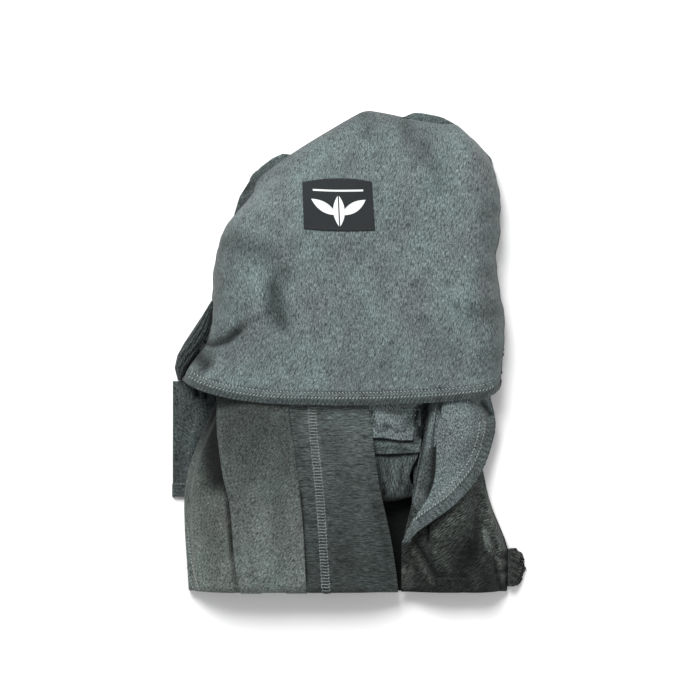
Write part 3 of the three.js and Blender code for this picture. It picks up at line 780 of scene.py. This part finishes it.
left_edge = rail_of(solid_rows("left_loop_panel"), 0)
seamed_edge = rail_of(solid_rows("seamed_loop_panel"), -1)
lower_left_edge = rail_of(solid_rows("lower_panel"), 0)
lower_right_edge = rail_of(solid_rows("lower_panel"), -1)
swag_edge = rail_of(solid_rows("swag_panel"), -1)
sash_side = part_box("sash_end")[1].x + 0.002
folded_runs(
    "left_folded_stack_cloth", "left_folded_stack",
    lambda y, z: max(left_edge(y) + 0.010 + 0.6 * z, sash_side), lambda y, z: seamed_edge(y) - 0.006,
    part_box("left_folded_stack")[1].z - 0.0035, 6, 0.4, 0.006,
)
lower_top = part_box("lower_panel")[1].y
folded_runs(
    "right_folded_stack_cloth", "right_folded_stack",
    lambda y, z: lower_left_edge(y) + 0.010,
    lambda y, z: (lower_right_edge(y) if y < lower_top else swag_edge(y)) - 0.012 - 0.9 * z,
    0.0135, 4, 1.9, 0.004,
)

# The lowest run lies on the surface and closes the hollow between the two heaps from below.
base_low, base_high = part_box("lowest_loop_run")
base_low.y = bundle_low.y - 0.0006
BASE_ACROSS, BASE_ALONG = 50, 70
base_x = np.linspace(base_low.x, base_high.x, BASE_ACROSS)[None].repeat(BASE_ALONG, 0)
base_y = np.linspace(base_low.y, base_high.y, BASE_ALONG)[:, None].repeat(BASE_ACROSS, 1)
base_grid = with_painted_shade(np.stack([base_x, base_y, np.full_like(base_x, base_high.z - 0.0004)], axis=2))
base_grid = add_noise(base_grid, 0.02, 0.0003, 2.9)
HOLLOW_X = 0.043  # middle of the hollow, where no light reaches the cloth
# Painted shade: the run is painted near black along the middle of the hollow.
base_grid[..., 3] = 0.07 + 0.93 * smooth((abs(base_x - HOLLOW_X) - 0.019) / 0.012)
sewn_sheet(
    "lowest_loop_run_cloth", base_grid, jersey_runs, "carrier",
    ["lowest_loop_run"],
)

# ---- Pouch: back and front panels ----
# The pouch is the sash's end doubled over and closed on three sides. The front swells over
# the loops inside, and its mouth lies on the panels that come out of it.
POUCH_ROLL = 0.0010
MOUTH_SETTLE = 0.0052  # the mouth sinks until its hem lies on the loops
jersey_pouch = jersey("jersey_pouch", tone=0.86, grain=0.06, contrast=0.76, streaky=0.40)
jersey_back = jersey("jersey_back", tone=0.56, grain=0.5, streaky=0.3)
pouch_low, pouch_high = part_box("pouch_front")
pouch_size = pouch_high - pouch_low

# Outline of the front panel, in shares of its box: mouth, right side, closed end, left side.
MOUTH_LINE = [(0, 0.086), (0.055, 0.053), (0.121, 0.032), (0.19, 0.016), (0.292, 0.004), (0.541, 0),
              (0.70, 0.006), (0.804, 0.012), (0.907, 0.024), (0.955, 0.033), (0.982, 0.059)]
RIGHT_LINE = [(0.982, 0.059), (0.988, 0.11), (0.995, 0.20), (1.0, 0.272), (0.988, 0.352), (0.972, 0.430),
              (0.971, 0.53), (0.984, 0.60), (0.982, 0.69), (0.968, 0.796), (0.936, 0.855)]
END_LINE = [(0.235, 0.769), (0.306, 0.828), (0.3985, 0.894), (0.520, 0.973), (0.566, 1.0), (0.615, 0.992),
            (0.715, 0.969), (0.808, 0.953), (0.840, 0.957), (0.875, 0.922), (0.936, 0.855)]
LEFT_LINE = [(0, 0.086), (0.030, 0.145), (0.071, 0.204), (0.092, 0.255), (0.096, 0.388), (0.103, 0.502),
             (0.125, 0.588), (0.167, 0.651), (0.214, 0.702), (0.235, 0.769)]


def smooth_line(shares, count):
    """A rounded curve through places given as shares of the pouch's box."""
    points = np.array([(pouch_low.x + a * pouch_size.x, pouch_low.y + b * pouch_size.y) for a, b in shares])
    for _ in range(3):
        cut = [points[0]]
        for a, b in zip(points[:-1], points[1:]):
            cut += [0.78 * a + 0.22 * b, 0.22 * a + 0.78 * b]
        points = np.array(cut + [points[-1]])
    return resample(points, count)


def patch(bottom, top, left, right, shares=None):
    """Fills the space between four lines with rows of points, evenly or at shares of the way up."""
    rows, columns = len(left), len(bottom)
    u = np.linspace(0, 1, columns)[None, :, None]
    v = (np.linspace(0, 1, rows) if shares is None else shares)[:, None, None]
    sides = (1 - v) * bottom[None] + v * top[None] + (1 - u) * left[:, None] + u * right[:, None]
    corners = (1 - v) * ((1 - u) * bottom[0] + u * bottom[-1]) + v * ((1 - u) * top[0] + u * top[-1])
    return sides - corners


def swell(t):
    t = np.clip(t, 0, 1)
    return np.sqrt(1 - (1 - t) ** 2.2)


# The rows lie close together across the hem, and wider apart on the body of the panel.
POUCH_ACROSS, HEM_SHARE = 260, 0.046
pouch_shares = np.concatenate([np.linspace(0, HEM_SHARE, 22), np.linspace(HEM_SHARE, 1, 143)[1:]])
pouch_sides = [smooth_line(LEFT_LINE, pouch_shares), smooth_line(RIGHT_LINE, pouch_shares)]
for side_line, seed in zip(pouch_sides, (4.2, 7.3)):
    uneven = np.array([noise.noise(Vector((0, y / 0.011, seed))) for y in side_line[:, 1]])
    side_line[:, 0] += 0.0016 * uneven * np.sin(math.pi * pouch_shares) ** 0.3
pouch_plan = patch(
    smooth_line(MOUTH_LINE, POUCH_ACROSS), smooth_line(END_LINE, POUCH_ACROSS), *pouch_sides, pouch_shares
)
from_left = run_along(pouch_plan, 1)
from_right = from_left[:, -1:] - from_left
from_mouth = run_along(pouch_plan, 0)
from_end = from_mouth[-1:] - from_mouth
SIDE_SLOPE, RIGHT_SLOPE, END_SLOPE = 0.052, 0.030, 0.085
pouch_rise = swell(from_left / SIDE_SLOPE) * swell(from_right / RIGHT_SLOPE) * swell(from_end / END_SLOPE)
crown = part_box("pouch_mouth_hem")[1].z + 0.0018
pouch_foot = 0.0026
pouch_z = pouch_foot + (crown - pouch_foot) * pouch_rise
pouch_z -= MOUTH_SETTLE * smooth(1 - from_mouth / 0.07) * smooth(from_left / 0.05)
pouch_grid = with_painted_shade(np.concatenate([pouch_plan, pouch_z[..., None]], axis=2))

# Folds of the pouch front, with painted shade in their valleys; the two broad ones of height 0 only paint
# shade, over the left part and near the closed end.
POUCH_FOLDS = [
    ([(-56, 74), (-64, 50), (-64, 30), (-52, 12)], 8.5, -6.4, 0.40, 0.8),
    ([(-112, 96), (-92, 86), (-70, 78), (-58, 68)], 10, -4.6, 0.32),
    ([(-105, 50), (-90, 42), (-80, 22)], 16, 2.8, -0.02),
    ([(-62.8, 60), (-63, 36), (-57, 17.6), (-48, 11)], 4, -2.2, 0.34, 0.8),
    ([(-134, 12), (-125, 6), (-117, 3), (-103, 7), (-87, 20)], 3, -6, 0.78, 0.6),
    ([(-122, 22), (-110, 18), (-98, 26)], 8, 4.2, -0.08),
    ([(-138, 6), (-129, -6), (-118, -18)], 9, -4.6, 0.80),
    ([(128, 120), (118, 112), (108, 108)], 7, -1.8, 0.18),
    ([(134, -2), (122, -6), (108, -4)], 6, -1.8, 0.20),
    ([(0, 130), (40, 110), (80, 100)], 16, -1.4, 0.10),
    ([(-20, -10), (10, -20), (50, -16)], 10, -1, 0.10),
    ([(44, 206), (52, 186), (64, 168), (78, 146), (84, 126)], 8.5, -5.2, 0.30, 1.1),
    ([(12, 208), (15, 190), (16, 176)], 7, -3.8, 0.30),
    ([(84, 196), (98, 176), (106, 152)], 11, 2.8, -0.02),
    ([(134, 34), (114, 30), (96, 26)], 10, -3.6, 0.34),
    ([(132, 58), (120, 60), (106, 68)], 6, -2.2, 0.22),
    ([(50, 30), (80, 0), (100, -16)], 14, -1.8, 0.10),
    ([(-50, 100), (-20, 80), (30, 84)], 13, -1.4, 0.10),
    ([(-10, 40), (20, 10), (30, -20)], 15, -1.4, 0.07),
    ([(-30, 150), (10, 160), (40, 170)], 12, -1.6, 0.12),
    ([(-122, 110), (-112, 70), (-112, 30), (-110, -10)], 34, 0, 0.24),
    ([(-100, 140), (-70, 165), (-20, 190), (60, 200), (110, 170)], 24, 0, 0.14),
]
pouch_grid = work_folds(pouch_grid, POUCH_FOLDS)
pouch_grid = add_noise(pouch_grid, 0.050, 0.0024, 5.5, 1.4)
pouch_grid = add_noise(pouch_grid, 0.020, 0.0009, 8.8, 1.2)
# Painted shade: the front is painted darker near its edges, where it curves down.
edge_gap = np.minimum(np.minimum(from_left, from_right), from_end)
pouch_grid[..., 3] *= 1 - 0.30 * (1 - swell(edge_gap / 0.024))

# The hem: two sewn grooves, and small tucks between them and the folded edge.
HEM_ROWS = (0.0064, 0.0108)  # distance of the two needle rows from the edge
TUCK = 0.0032
HEM_DROP = 0.0024
in_band = smooth((HEM_ROWS[0] - 0.0004 - from_mouth) / 0.0012)
tucks = np.sin(2 * math.pi * (from_left + 0.002 * np.sin(from_left / 0.013)) / TUCK) * in_band
between_rows = smooth((HEM_ROWS[1] - from_mouth) / 0.001) * (1 - in_band)
grooves = sum(np.exp(-(((from_mouth - row) / 0.0010) ** 2)) for row in HEM_ROWS)
hem_slope = smooth((HEM_ROWS[0] - from_mouth) / HEM_ROWS[0])
pouch_grid[..., 2] += 0.0005 * between_rows + 0.0003 * tucks - 0.0008 * grooves - HEM_DROP * hem_slope
# Painted shade: the band is darker where it turns down, in the grooves and a little between the rows, and
# its tucks get painted light and shade.
pouch_grid[..., 3] *= (1 - 0.44 * in_band) * (1 + 0.36 * tucks)
pouch_grid[..., 3] *= (1 - 0.40 * grooves) * (1 - 0.16 * between_rows)
pouch_lower_edge = pouch_grid[0, :, :2].copy()
for side, under in (("left", 0.006), ("right", 0.006), ("bottom", 0.0035), ("top", 0.006)):
    pouch_grid = roll(pouch_grid, side, POUCH_ROLL, under, steps=4, tail=3)
pouch_front = sewn_sheet(
    "pouch_front_cloth", pouch_grid, jersey_pouch, "pouch",
    ["pouch_front"],
)

hem_rows = 7
hem_plan = patch(
    resample(pouch_lower_edge[16:-12], 120), resample(pouch_lower_edge[16:-12] + [0, 0.0115], 120),
    np.linspace(pouch_lower_edge[16], pouch_lower_edge[16] + [0, 0.0115], hem_rows),
    np.linspace(pouch_lower_edge[-13], pouch_lower_edge[-13] + [0, 0.0115], hem_rows),
)


class Cover:
    """Finds the height and the direction of a finished sheet's upper face at a place."""

    def __init__(self, piece):
        self.tree = BVHTree.FromObject(piece, bpy.context.evaluated_depsgraph_get())

    def at(self, x, y):
        place, normal, _, _ = self.tree.ray_cast(Vector((x, y, 0.2)), Vector((0, 0, -1)))
        return place, normal


pouch_cover = Cover(pouch_front)
hem_points = []
for row in hem_plan:
    line = []
    for x, y in row:
        place = pouch_cover.at(x, y + 0.0006)[0]
        line.append((x, y + 0.0006, (place.z if place else pouch_foot + 0.003) - CLOTH - 0.0004))
    hem_points.append(line)
sewn_sheet(
    "pouch_mouth_hem_cloth", with_painted_shade(soften(np.array(hem_points), 2)), jersey_pouch,
    "pouch", ["pouch_mouth_hem"],
)

# The back panel lies flat on the surface. Its rim shows past the front at the upper left and
# upper right, as soft rolls.
back_low, back_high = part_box("pouch_back")
back_size = back_high - back_low
BACK_MOUTH = [(0.02, 0.037), (0.228, 0.004), (0.548, 0.004), (0.972, 0.02)]
BACK_RIGHT = [(0.972, 0.02), (0.984, 0.221), (0.966, 0.413), (0.971, 0.609), (0.970, 0.755), (0.957, 0.828)]
BACK_END = [(0.132, 0.768), (0.162, 0.80), (0.20, 0.83), (0.236, 0.847), (0.272, 0.842), (0.30, 0.845),
            (0.388, 0.905), (0.516, 0.972), (0.63, 0.975), (0.655, 0.985), (0.688, 1.0), (0.716, 0.998),
            (0.765, 0.989), (0.79, 0.982), (0.83, 0.960), (0.90, 0.90), (0.957, 0.835)]
BACK_LEFT = [(0.02, 0.037), (0.0, 0.214), (0.012, 0.365), (0.03, 0.50), (0.06, 0.60), (0.085, 0.69),
             (0.11, 0.73), (0.132, 0.768)]


def back_line(shares, count):
    points = np.array([(back_low.x + a * back_size.x, back_low.y + b * back_size.y) for a, b in shares])
    return resample(points, count)


BACK_ACROSS, BACK_ALONG = 110, 104
back_plan = patch(
    back_line(BACK_MOUTH, BACK_ACROSS), back_line(BACK_END, BACK_ACROSS),
    back_line(BACK_LEFT, BACK_ALONG), back_line(BACK_RIGHT, BACK_ALONG),
)
rim = np.zeros((BACK_ALONG, BACK_ACROSS))
rows_back = np.linspace(0, 1, BACK_ALONG)[:, None]
columns_back = np.linspace(0, 1, BACK_ACROSS)[None]
rim += 0.0034 * smooth((rows_back - 0.86) / 0.10) * smooth((0.42 - columns_back) / 0.10)
rim += 0.0040 * smooth((rows_back - 0.90) / 0.08) * smooth((columns_back - 0.62) / 0.08)
left_rim = smooth((0.05 - columns_back) / 0.05) * smooth((rows_back - 0.55) / 0.15)
rim += 0.0026 * left_rim * (rows_back < 0.86)
back_grid = with_painted_shade(np.concatenate([back_plan, (0.0010 + rim)[..., None]], axis=2))
back_grid = roll(back_grid, "top", 0.0009, 0.004)
back_grid = roll(back_grid, "left", 0.0009, 0.004)
sewn_sheet(
    "pouch_back_cloth", back_grid, jersey_back, "pouch",
    ["pouch_back"],
)

# ---- Sash: crumpled beside the pouch, then folded flat ----
# The sash runs out from under the pouch at the left. It is bunched into lengthwise ribs, then
# lies flat, doubled under itself, with a narrow hem at its end.
jersey_sash = jersey("jersey_sash", tone=0.36, grain=-0.75, streaky=0.3)
gather_grid = solid_rows("sash_gather", 0.0009)
g_u = np.linspace(0, 1, gather_grid.shape[1])[None]
g_v = np.linspace(0, 1, gather_grid.shape[0])[:, None]
gather_grid[..., 1] += 0.010 * g_v**2 - 0.004 * (1 - g_v) ** 2
gather_grid[..., 0] += 0.004 * g_v**2
gather_ribs = np.sin(2 * math.pi * (3.2 * g_u - 1.3 * g_v) + 1.9 * np.sin(6 * g_v + 2 * g_u))
finer_ribs = np.sin(2 * math.pi * (6.7 * g_u + 1.1 * g_v) + 2.2 * np.sin(4 * g_v))
gather_ribs = 0.65 * gather_ribs + 0.45 * finer_ribs
gather_round = np.sqrt(np.clip(1 - (2 * g_u - 1) ** 2, 0, 1))
gather_grid[..., 2] = 0.0022 + 0.0085 * gather_round + 0.0012 * gather_ribs * gather_round
# Painted shade between the ribs and painted light on their crests.
gather_grid[..., 3] = 0.72 + 0.26 * gather_ribs
gather_grid = roll(gather_grid, "left", 0.0010, 0.004)
sewn_sheet(
    "sash_gather_cloth", gather_grid, jersey_sash, "pouch", ["sash_gather"],
)

sash_low, sash_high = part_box("sash_end")
sash_width = sash_high.x - sash_low.x
SASH_TAPER = 0.667  # width at the sash's end over the width at the pouch
SASH_ACROSS, SASH_ALONG = 44, 90
share_x = np.linspace(0, 1, SASH_ACROSS)[None].repeat(SASH_ALONG, 0)
share_y = np.linspace(0, 1, SASH_ALONG)[:, None].repeat(SASH_ACROSS, 1)
sash_x = sash_low.x + sash_width * share_x * (SASH_TAPER + (1 - SASH_TAPER) * share_y)
sash_y = sash_low.y + (sash_high.y - sash_low.y) * share_y
sash_grid = with_painted_shade(np.stack([sash_x, sash_y, np.full_like(sash_x, sash_high.z)], axis=2))
sash_grid = add_noise(sash_grid, 0.02, 0.0009, 6.1, 2.0)
hem_line = sash_high.y - 0.012 + 0.22 * (sash_x - sash_low.x)  # the hem slants up to the right
near_top = smooth((hem_line - sash_y) / 0.001) * smooth((sash_y - hem_line + 0.009) / 0.005)
sash_tucks = np.sin(2 * math.pi * sash_x / 0.0026)
sash_grid[..., 2] += 0.0003 * near_top * sash_tucks
# Painted light and shade across the tucks of the hem.
sash_grid[..., 3] *= 1 + 0.25 * near_top * sash_tucks
# Painted shade in the sash's creases, painted highlight on its ridge.
SASH_FOLDS = [
    ([(-133.5, -32), (-132.5, -37), (-133, -41)], 2.2, -3, 0.90),
    ([(-125.5, -33), (-125, -38), (-124.5, -43)], 1.8, -3, 0.90),
    ([(-138, -45), (-146, -80), (-148, -120)], 5, -1.2, 0.20),
    ([(-130, -45), (-135, -75), (-142, -120)], 4, 1.4, -0.15),
    ([(-118, -40), (-124, -70), (-134, -100)], 6, -1.4, 0.35),
]
sash_grid = work_folds(sash_grid, SASH_FOLDS)
sash_grid = roll(sash_grid, "left", (sash_high.z - 0.0008) / 2, 0.020)
sash_grid = roll(sash_grid, "bottom", 0.0009, 0.010)
sash_end = sewn_sheet(
    "sash_end_cloth", sash_grid, jersey_sash, "pouch",
    ["sash_end"],
)

# ---- Gathered end of the second loop ----
# The far end of the lower right panel is drawn together by its seam into a small bunch of
# frills, six thin layers of jersey one over the other.
bunch_low, bunch_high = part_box("gathered_end")
bunch_low.x -= 0.003
jersey_bunch = jersey("jersey_bunch", tone=0.27, grain=0.4, warmth=0.6)
FRILLS = 6
bunch_size = bunch_high - bunch_low
for frill in range(FRILLS):
    lift = frill / (FRILLS - 1)
    rows = []
    for v in np.linspace(0, 1, 110):
        y = bunch_low.y + bunch_size.y * v
        round_end = math.sqrt(math.sin(math.pi * min(max(v, 0.03), 0.97)))
        lobes = math.sin(2 * math.pi * 2.7 * v + 1.9 * frill)
        lobes += 0.5 * math.sin(2 * math.pi * 7.1 * v + 2.6 * frill)
        reach = (0.35 + 0.58 * round_end) * (1 - 0.36 * lift) + 0.07 * lobes
        row = []
        for u in np.linspace(0, 1, 30):
            x = bunch_low.x + (bunch_size.x - 0.0010) * min(reach, 1.0) * u
            wave = math.sin(2 * math.pi * (5.3 * v + 0.8 * u) + 2.3 * frill)
            crumple = 0.0012 * noise.noise(Vector((x / 0.003, y / 0.003, frill)))
            z = 0.0016 + 0.0014 * frill + (0.0011 * wave + crumple) * u + 0.0020 * lift * (1 - u * u)
            # Painted light and shade across each frill's waves.
            shade = 0.75 + 0.45 * wave * u
            row.append((x, y, max(z, 0.0010), max(shade, 0.2)))
        rows.append(row)
    sewn_sheet(
        f"gathered_end_frill_{frill + 1}", np.array(rows), jersey_bunch, "carrier",
        ["gathered_end"] if frill == 0 else [],
    )

# ---- Stitches ----
# Hems are sewn with a two-needle coverstitch and the loop with a flatlock seam, in a thread a
# little lighter than the cloth. Each stitch is a short strand whose ends dip into the jersey.
def thread(name, fuzz_scale, dark, light, rough, sheen):
    """Spun thread of two mixed shades, with a little fuzz."""
    spun = Finish(name)
    place = spun.node("ShaderNodeTexCoord", output="Object")
    fuzz = spun.node("ShaderNodeTexNoise", {}, {"Vector": place, "Scale": fuzz_scale, "Detail": 2.0})
    spun.set(Base_Color=spun.ramp(fuzz, (0.35, dark), (0.65, light)), Roughness=rough + 0.15 * fuzz)
    spun.set(Sheen_Weight=sheen, Sheen_Roughness=0.4)
    return spun.material


thread_pale = thread("thread_pale", 900.0, (0.165, 0.195, 0.190), (0.32, 0.37, 0.36), 0.72, 0.2)
thread_mid = thread("thread_mid", 700.0, (0.070, 0.088, 0.085), (0.20, 0.235, 0.228), 0.72, 0.2)
thread_dark = thread("thread_dark", 900.0, (0.020, 0.024, 0.024), (0.055, 0.062, 0.062), 0.75, 0.0)

bpy.ops.object.select_all(action="DESELECT")
bpy.ops.mesh.primitive_cylinder_add(
    vertices=6, radius=0.5, depth=1, end_fill_type="TRIFAN", location=(0, 0, 0)
)
strand = bpy.context.object
bpy.ops.object.mode_set(mode="EDIT")
bpy.ops.mesh.select_all(action="SELECT")
bpy.ops.transform.rotate(value=math.pi / 2, orient_axis="Y", center_override=(0, 0, 0))
for cut_x in (-0.28, 0.28, 0):
    bpy.ops.mesh.select_all(action="SELECT")
    bpy.ops.mesh.bisect(plane_co=(cut_x, 0, 0), plane_no=(1, 0, 0))
bpy.ops.object.mode_set(mode="OBJECT")
for vertex in strand.data.vertices:
    along = 2 * vertex.co.x
    taper = 1 - 0.45 * along**4
    vertex.co.y *= taper
    vertex.co.z = vertex.co.z * taper - 0.55 * along * along
strand_points = np.array([v.co for v in strand.data.vertices])
strand_faces = [tuple(p.vertices) for p in strand.data.polygons]
bpy.data.objects.remove(strand)


def offset_line(points, distance):
    """The line beside a polyline, at a distance to its left."""
    points = np.asarray(points, float)[:, :2]
    along = np.gradient(points, axis=0)
    along /= np.maximum(np.linalg.norm(along, axis=1, keepdims=True), 1e-9)
    return points + distance * np.stack([-along[:, 1], along[:, 0]], axis=1)


def sew(
    name, cover, line, body, nodes, finish, pitch, length, width, turn, lift=0.0002, chevron=False
):
    """A row of stitches along a line, each turned from it by an angle and laid on the cloth."""
    line = np.asarray(line, float)[:, :2]
    total = np.linalg.norm(np.diff(line, axis=0), axis=1).sum()
    places = resample(line, max(3, int(total / pitch) + 1))
    points, faces = [], []
    for k, (x, y) in enumerate(places):
        ahead = places[min(k + 1, len(places) - 1)] - places[max(k - 1, 0)]
        spot, normal = cover.at(x, y)
        if spot is None:
            continue
        angle = turn * (-1 if chevron and k % 2 else 1)
        forward = Vector((ahead[0], ahead[1], 0)).normalized()
        forward = Matrix.Rotation(angle, 3, "Z") @ forward
        forward = (forward - normal * forward.dot(normal)).normalized()
        across = normal.cross(forward)
        uneven = 1 + 0.10 * math.sin(12.9 * k)
        base = len(points)
        for px, py, pz in strand_points:
            at = spot + forward * (px * length * uneven) + across * (py * width)
            points.append(tuple(at + normal * (pz * width + lift)))
        faces += [tuple(base + i for i in face) for face in strand_faces]
    mesh = bpy.data.meshes.new(name)
    mesh.from_pydata(points, [], faces)
    mesh.polygons.foreach_set("use_smooth", [True] * len(mesh.polygons))
    mesh.materials.append(finish)
    row = bpy.data.objects.new(name, mesh)
    bpy.context.scene.collection.objects.link(row)
    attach(row, body)
    if nodes:
        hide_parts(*nodes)


mouth_line = resample(pouch_lower_edge[6:-6], 200)
mouth_rows = [offset_line(mouth_line, distance) for distance in HEM_ROWS]
sew(
    "mouth_stitching_lower_thread", pouch_cover, mouth_rows[0], "pouch", ["mouth_stitching_lower"],
    thread_pale, 0.0029, 0.0027, 0.0010, 0.80,
)
sew(
    "mouth_stitching_upper_thread", pouch_cover, mouth_rows[1], "pouch", ["mouth_stitching_upper"],
    thread_pale, 0.0029, 0.0025, 0.0009, -0.80,
)
sew(
    "mouth_cover_thread", pouch_cover, offset_line(mouth_line, sum(HEM_ROWS) / 2), "pouch", [],
    thread_mid, 0.0029, 0.0030, 0.0004, 1.05, chevron=True,
)
# A row of dark thread just above the upper row paints the shadow of its groove.
sew(
    "mouth_stitching_upper_shadow", pouch_cover, offset_line(mouth_line, HEM_ROWS[1] + 0.0009), "pouch", [],
    thread_dark, 0.0024, 0.0021, 0.0004, 0.1, lift=0.0,
)

seamed_cover = Cover(seamed_loop)
seam_rows = solid_rows("flatlock_seam", 0.0035)
seam_middle = resample(seam_rows[:, seam_rows.shape[1] // 2, :2], 160)
SEAM_HALF = 0.0031
for label, shift in (("left", SEAM_HALF), ("right", -SEAM_HALF)):
    sew(
        f"flatlock_seam_{label}_edge", seamed_cover, offset_line(seam_middle, shift), "carrier", [],
        thread_mid, 0.0026, 0.0024, 0.0012, 0.45, chevron=True,
    )
sew(
    "flatlock_seam_rungs", seamed_cover, seam_middle, "carrier", ["flatlock_seam"],
    thread_mid, 0.0026, 0.0060, 0.0010, math.pi / 2 - 0.16, lift=0.0004,
)

swag_cover = Cover(swag)
on_hem = (swag_edge_line[:, 1] > -0.160) & (swag_edge_line[:, 1] < -0.060)
swag_side = resample(swag_edge_line[on_hem], 90)
for label, distance, slant in (("outer", SWAG_ROWS[0], 0.80), ("inner", SWAG_ROWS[1], -0.80)):
    sew(
        f"swag_stitching_{label}_thread", swag_cover, offset_line(swag_side, distance),
        "carrier", [f"swag_stitching_{label}"], thread_pale, 0.0028, 0.0025, 0.0009, slant,
    )
sew(
    "swag_cover_thread", swag_cover, offset_line(swag_side, sum(SWAG_ROWS) / 2), "carrier", [],
    thread_mid, 0.0022, 0.0040, 0.0004, 1.05, chevron=True,
)

left_cover = Cover(left_loop)
left_row = solid_rows("left_loop_stitching", 0.0015)
left_line = resample(left_row[:, left_row.shape[1] // 2, :2], 40)
sew(
    "left_loop_stitching_thread", left_cover, left_line, "carrier", ["left_loop_stitching"],
    thread_pale, 0.0028, 0.0023, 0.0009, 0.6,
)
sew(
    "left_loop_stitching_second", left_cover, offset_line(left_line, 0.0052), "carrier", [],
    thread_pale, 0.0028, 0.0023, 0.0009, -0.6,
)

band_cover = Cover(band_pieces["support_band"])
stitch_low, stitch_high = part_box("support_band_stitching")
band_line = resample([(stitch_low.x, stitch_low.y - 0.0046), (stitch_high.x, stitch_low.y - 0.0052)], 20)
sew(
    "support_band_stitching_thread", band_cover, band_line, "carrier", ["support_band_stitching"],
    thread_pale, 0.0027, 0.0022, 0.0008, 0.7,
)
sew(
    "support_band_stitching_second", band_cover, offset_line(band_line, 0.0052), "carrier", [],
    thread_pale, 0.0027, 0.0022, 0.0008, -0.7,
)

sash_cover = Cover(sash_end)
sash_row_low, sash_row_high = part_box("sash_end_stitching")
sash_line = resample([(sash_row_low.x, sash_row_low.y), (sash_row_high.x, sash_row_low.y)], 20)
sew(
    "sash_end_stitching_thread", sash_cover, sash_line, "pouch", ["sash_end_stitching"],
    thread_pale, 0.0024, 0.0020, 0.0005, 0.4, chevron=True,
)

# ---- Woven label ----
# A near-black damask label, sewn flat near the closed end of the pouch. Its pale motif is a
# plain sprig of three leaves under a stripe.
label_low, label_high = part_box("woven_label")
LABEL_ACROSS, LABEL_ALONG = 62, 46
label_corners = [(0.0, 0.03), (1.0, 0.0), (0.955, 0.985), (-0.025, 0.985)]
label_points = []
for v in np.linspace(0, 1, LABEL_ALONG):
    row = []
    for u in np.linspace(0, 1, LABEL_ACROSS):
        (ax, ay), (bx, by), (cx, cy), (dx, dy) = label_corners
        x = (1 - v) * ((1 - u) * ax + u * bx) + v * ((1 - u) * dx + u * cx)
        y = (1 - v) * ((1 - u) * ay + u * by) + v * ((1 - u) * dy + u * cy)
        y += 0.05 * (1 - (2 * u - 1) ** 2) * (2 * v - 0.6)
        px = label_low.x + x * (label_high.x - label_low.x)
        py = label_low.y + y * (label_high.y - label_low.y)
        place, _ = pouch_cover.at(px, py)
        row.append((px, py, place.z + 0.0009))
    label_points.append(row)
label_grid = with_painted_shade(soften(np.array(label_points), 3))

label_finish = Finish("woven_label")
spot = label_finish.uv()
label_x = label_finish.node("ShaderNodeSeparateXYZ", {}, [spot])
label_y = label_finish.node("ShaderNodeSeparateXYZ", {}, [spot], output=1)
SHARPNESS = 4000  # how fast a woven shape's edge turns from ground to figure, per metre


def inside(distance):
    """Mask of the places where a distance in metres is above zero."""
    return (distance * SHARPNESS).math("MINIMUM", 1).math("MAXIMUM", 0)


def leaf(cx, cy, angle, half_length, half_width):
    """Mask of a pointed leaf, centred at a place and turned by an angle."""
    c, s = math.cos(angle), math.sin(angle)
    along = (label_x - cx) * c + (label_y - cy) * s
    side = ((label_y - cy) * c - (label_x - cx) * s).math("ABSOLUTE")
    return inside(half_width - half_width / half_length**2 * (along * along) - side)


LABEL_MIDDLE = (label_high.y - label_low.y) / 2
sprig = leaf(0.0, LABEL_MIDDLE - 0.0040, math.pi / 2, 0.0140, 0.0050)
sprig = sprig.math("MAXIMUM", leaf(0.0125, LABEL_MIDDLE - 0.0010, 0.55, 0.0125, 0.0042))
sprig = sprig.math("MAXIMUM", leaf(-0.0125, LABEL_MIDDLE - 0.0010, math.pi - 0.55, 0.0125, 0.0042))
vein = inside(label_x.math("ABSOLUTE") - 0.0004)
stripe_side = (label_y - (LABEL_MIDDLE + 0.0135)).math("ABSOLUTE")
stripe = inside(0.0009 - stripe_side) * inside(0.0215 - label_x.math("ABSOLUTE"))
motif = (sprig * vein).math("MAXIMUM", stripe)
weft_run, warp_run = {"Vector": spot, "Scale": 480.0}, {"Vector": spot, "Scale": 620.0}
weft = label_finish.node("ShaderNodeTexWave", {"bands_direction": "Y"}, weft_run, output=1)
warp = label_finish.node("ShaderNodeTexWave", {"bands_direction": "X"}, warp_run, output=1)
ground = label_finish.ramp(warp, (0, (0.010, 0.012, 0.013)), (1, (0.028, 0.031, 0.033)))
figure = label_finish.ramp(weft, (0, (0.55, 0.57, 0.57)), (1, (0.80, 0.82, 0.82)))
label_height = 0.5 * weft + 0.4 * warp + 0.8 * motif
label_bump = label_finish.node(
    "ShaderNodeBump", {}, {"Strength": 0.3, "Distance": 0.0003, "Height": label_height}
)
label_finish.set(Base_Color=label_finish.mix(motif, ground, figure))
label_finish.set(Normal=label_bump, Roughness=0.8 - 0.15 * motif)
label_finish.set(Specular_IOR_Level=0.15)
label = sewn_sheet(
    "woven_label_cloth", label_grid, label_finish.material, "pouch", ["woven_label"],
)
label_cover = Cover(label)
for edge, row, node in (("top", -2, "label_stitching_top"), ("bottom", 2, "label_stitching_bottom")):
    sew(
        f"label_stitching_{edge}_thread", label_cover, label_grid[row, 2:-2, :2], "pouch", [node],
        thread_dark, 0.0026, 0.0019, 0.0004, 0.05,
    )

# ---- Own meshes for the pouch front's pieces ----
# The pouch front, its mouth hem and stitches, and the label with its stitches each get their own copy of
# their mesh.
SINKING = ("pouch_front", "pouch_mouth", "mouth_", "woven_", "label_")
for piece in list(bpy.data.objects):
    if piece.type == "MESH" and piece.name.startswith(SINKING):
        if piece.name.endswith(("_cloth", "_thread", "_shadow")):
            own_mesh(piece)
